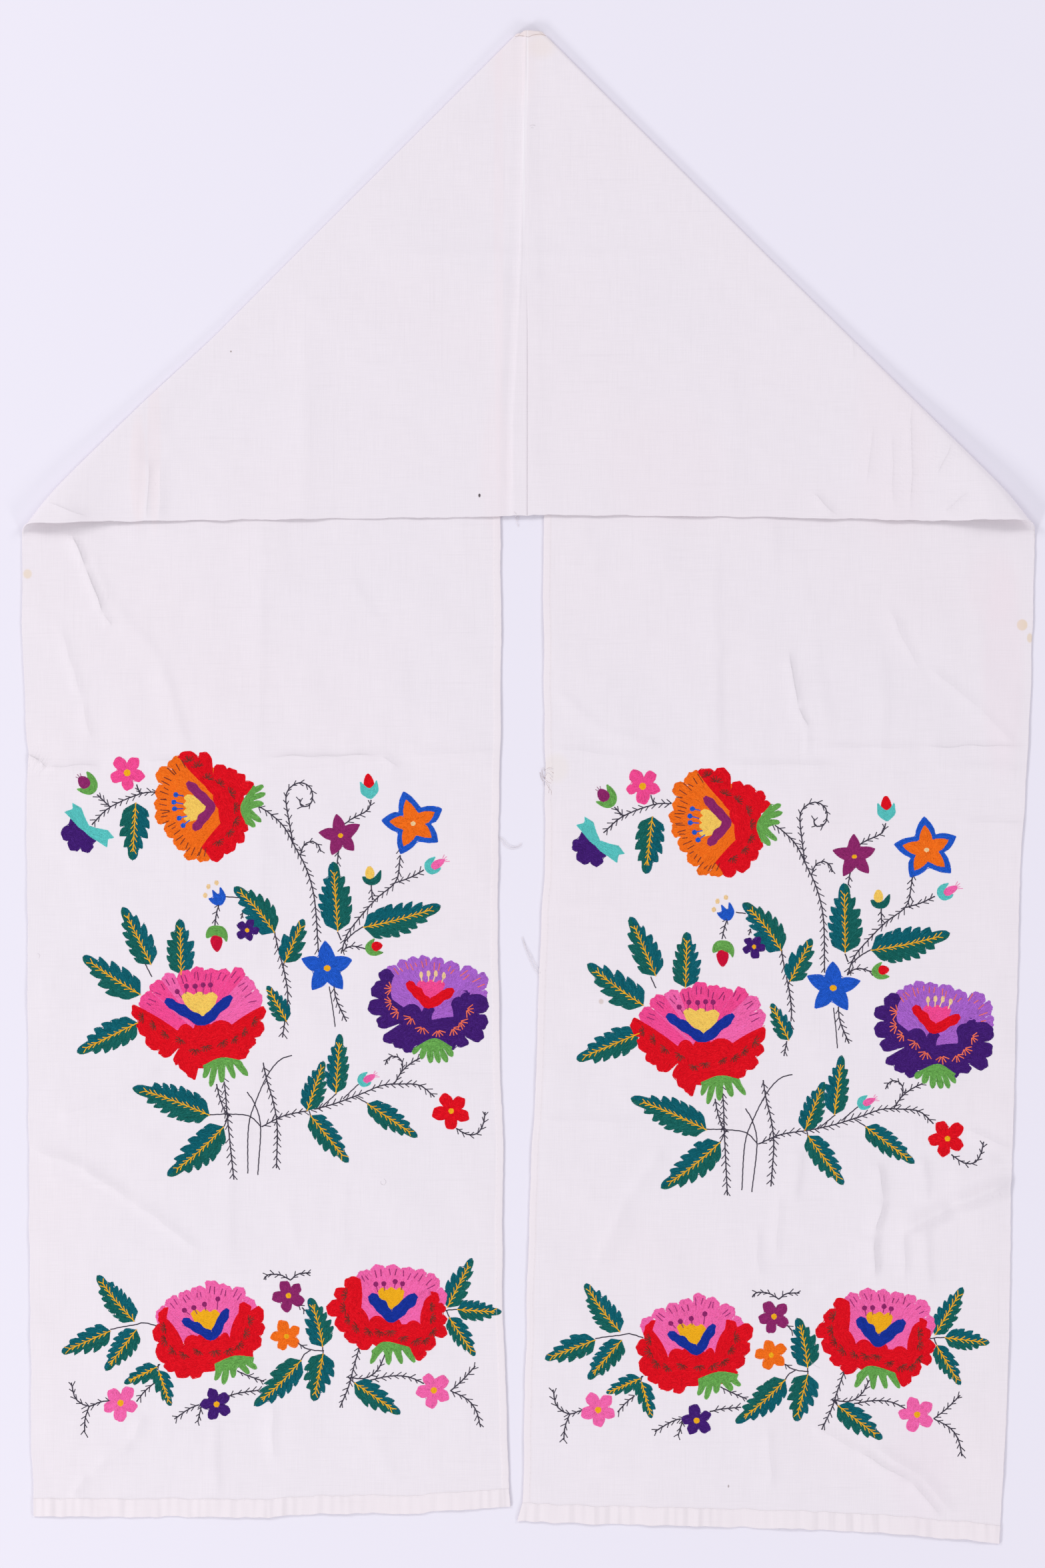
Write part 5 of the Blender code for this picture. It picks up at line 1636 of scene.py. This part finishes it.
def plain_thread_material(name, dark, light):
    n = Nodes(name)
    where = n.new("ShaderNodeTexCoord").outputs["Object"]
    fine = n.noise(where, 2400, 1.0, 0.5)
    colour = n.mix(fine, srgb(*dark), srgb(*light))
    n.link(colour, n.shader.inputs["Base Color"])
    n.shader.inputs["Roughness"].default_value = 0.7
    return n.m


def floor_material():
    n = Nodes("floor_pale")
    where = n.new("ShaderNodeTexCoord").outputs["Object"]
    cloud = n.noise(where, 1.3, 2.0, 0.5)
    colour = n.mix(cloud, FLOOR, tuple(c * 1.015 for c in FLOOR))
    n.link(colour, n.shader.inputs["Base Color"])
    n.shader.inputs["Roughness"].default_value = 0.9
    n.shader.inputs["Specular IOR Level"].default_value = 0.1
    return n.m


FLOOR = (0.842, 0.815, 0.885)


# ---- hem stitches and loose threads ---------------------------------------------------------------------
def hem_rows_of(side):
    """Running stitches along the hems of a leg."""
    rng = random.Random(SEED + 11 + (side == "right"))
    rows = []
    v = 0.015
    while v < 0.985:  # foot hem, just inside its turned edge
        y0, y1 = (float(foot_y(side, np.array([q]))[0]) - HEM_DEEP + 3.0 + rng.uniform(-0.5, 0.5) for q in (v, v + 0.005))
        xs = [float(cx(leg_x(side, np.array([wy(y)]), np.array([q]))[0])) for q, y in ((v, y0), (v + 0.005, y1))]
        rows.append((xs[0], y0, xs[1], y1, 0.34, 0.12, 0.0, rng.gauss(0.5, 0.2)))
        v += 0.0135 * rng.uniform(0.8, 1.3)
    y = 812.0
    foot = float(foot_y(side, np.array([0.0]))[0])
    while y < foot - HEM_DEEP - 4:  # inner selvedge
        q = 4.7 / 384
        a = float(cx(leg_x(side, np.array([wy(y)]), np.array([q]))[0]))
        b = float(cx(leg_x(side, np.array([wy(y + 3.2)]), np.array([q + 0.0012]))[0]))
        rows.append((a, y, b, y + 3.2, 0.32, 0.12, 0.0, rng.gauss(0.5, 0.2)))
        y += rng.uniform(8.0, 13.0)
    return rows


LOOSE = {  # ends of thread left hanging
    "left": [[(747, 1257), (753, 1262), (758, 1269), (766, 1273), (775, 1272), (781, 1269), (782, 1265)],
             [(748, 1255), (755, 1259), (761, 1266), (769, 1270), (777, 1269), (781, 1265)],
             [(576, 1768), (579, 1772), (577, 1777), (572, 1776), (571, 1772)], [(56, 1430), (60, 1433), (58, 1438)],
             [(771, 768), (775, 772), (778, 777), (776, 781), (773, 778), (775, 773)], [(774, 783), (778, 787), (777, 790)]],
    "right": [[(811, 1460), (803, 1446), (796, 1432), (789, 1420), (783, 1405)], [(809, 1463), (801, 1452), (794, 1437), (788, 1422), (784, 1407)], [(821, 1160), (815, 1163), (812, 1168)],
              [(822, 1156), (816, 1152), (811, 1154)], [(820, 1168), (815, 1174), (817, 1180)],
              [(1214, 2038), (1220, 2046), (1230, 2052)], [(795, 189.5), (799, 188.6), (803, 189.6)], [(796, 193), (800, 192.5)],
              [(818, 1151), (824, 1154), (830, 1153)], [(819, 1158), (825, 1161), (829, 1167)], [(818, 1172), (824, 1178), (824, 1186)]],
}
FRAY = [[(816, 1156), (822, 1152), (828, 1152)], [(817, 1166), (821, 1172), (827, 1175)], [(820, 1176), (824, 1183), (823, 1190)],
        [(822, 1180), (827, 1186), (827, 1192)], [(820, 1160), (818, 1168), (820, 1176)], [(810, 1158), (812, 1166), (815, 1172)],
        [(813, 1155), (814, 1163), (817, 1168)], [(826, 1156), (831, 1160)], [(825, 1166), (829, 1171)]]  # worn threads of a selvedge
# a thin dark tan line laid along the top of the fold at the apex
APEX = [(773, 56.4), (780, 55.2), (787, 56.0), (793, 57.2), (798, 55.0), (805, 53.2), (813, 53.0), (819, 55.6)]


def loose_rows(points, wide=0.46, high=0.26, lift=0.05):
    rows = []
    line = catmull(points, False, 2.2)
    for (x0, y0), (x1, y1) in zip(line, line[1:]):
        rows.append((x0, y0, x1, y1, wide, high, lift, 0.55))
    return rows


def ground_of(pieces):
    """Height of the uppermost cloth, or of the ground, at world points."""
    trees = [BVHTree.FromPolygons([v.co for v in p.data.vertices], [tuple(f.vertices) for f in p.data.polygons]) for p in pieces]

    def top(x, y):
        out = []
        for a, b in zip(np.ravel(x), np.ravel(y)):
            hits = [t.ray_cast(Vector((a, b, 0.05)), Vector((0, 0, -1)))[0] for t in trees]
            out.append(max([h.z for h in hits if h is not None], default=0.05 * MM))
        return np.array(out)

    return top


# ---- everything together --------------------------------------------------------------------------------
cotton = cotton_material()
threads = {name: thread_material(name) for name in THREADS}
white_thread = plain_thread_material("thread_white", (226, 218, 222), (246, 240, 242))
tan_thread = plain_thread_material("thread_tan", (150, 124, 118), (176, 150, 142))
pieces = {side: build_sheet(side) for side in ("left", "right")}
ground = ground_of(list(pieces.values()))
for side, piece in pieces.items():
    piece.data.materials.append(cotton)
    if side == "left":
        work = Needlework(side, lambda x, y: (x, y), 30, 1090, 760, 1080)
    else:
        work = Needlework(side, right_place, 780, 1090, 780, 1110)
    embroider(work)
    work.work_regions()
    work.work_lines()
    pads = padding(work)
    sewn = []
    for name in sorted(work.stitches):
        sewn.append(stitch_mesh("thread_%s_%s" % (name, side), lambda x, y: leg_top(side, x, y), work.stitches[name],
                                pads.get(name), threads[name]))
    rows = hem_rows_of(side)
    for points in LOOSE[side]:
        rows += loose_rows(points)
    sewn.append(stitch_mesh("thread_hems_" + side, ground, rows, None, white_thread))
    if side == "left":
        sewn.append(stitch_mesh("thread_apex", ground, loose_rows(APEX, 0.42, 0.10, 0.0), None, tan_thread))
    else:
        sewn.append(stitch_mesh("thread_fray", ground, [r for points in FRAY for r in loose_rows(points, 0.30, 0.10, 0.0)], None,
                                tan_thread))
    for obj in sewn:
        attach(obj, "root")
    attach(piece, "root")
    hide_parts("cloth_" + side)

# ---- floor, light and camera ----------------------------------------------------------------------------
floor_mesh = bpy.data.meshes.new("floor")
floor_mesh.from_pydata([(-4, -4, 0), (4, -4, 0), (4, 4, 0), (-4, 4, 0)], [], [(0, 1, 2, 3)])
floor = bpy.data.objects.new("floor", floor_mesh)
floor.location.z = -0.0004
bpy.context.scene.collection.objects.link(floor)
floor_mesh.materials.append(floor_material())


def area(name, place, target, size, energy, colour):
    light = bpy.data.lights.new(name, "AREA")
    light.shape = "RECTANGLE"
    light.size, light.size_y = size
    light.energy = energy
    light.color = colour
    lamp = bpy.data.objects.new(name, light)
    lamp.location = place
    lamp.rotation_mode = "QUATERNION"
    lamp.rotation_quaternion = (Vector(target) - Vector(place)).to_track_quat("-Z", "Y")
    bpy.context.scene.collection.objects.link(lamp)


area("north_west", (-2.5, 1.9, 1.9), (0, 0, 0), (0.9, 0.9), 36, (1, 1, 1))
area("north_east", (2.5, 1.9, 1.9), (0, 0, 0), (0.9, 0.9), 23, (1, 1, 1))
area("south_west", (-2.6, -2.3, 1.7), (0, 0, 0), (0.9, 0.9), 49, (1, 1, 1))
area("south_east", (2.6, -2.3, 1.7), (0, 0, 0), (0.9, 0.9), 24, (1, 1, 1))
world = bpy.data.worlds.new("soft_room")
bpy.context.scene.world = world
world.use_nodes = True
world.node_tree.nodes["Background"].inputs["Color"].default_value = (0.93, 0.92, 1.0, 1)
world.node_tree.nodes["Background"].inputs["Strength"].default_value = 0.59

camera = bpy.data.cameras.new("camera")
camera.sensor_width = 36
camera.sensor_fit = "AUTO"
camera.lens = 36 * 3.0 / (2352 * UNIT)
camera.clip_end = 50
eye = bpy.data.objects.new("camera", camera)
eye.location = (float(wx(784)), float(wy(1176)), 3.0)
bpy.context.scene.collection.objects.link(eye)
bpy.context.scene.camera = eye
bpy.context.scene.view_settings.view_transform = "Standard"
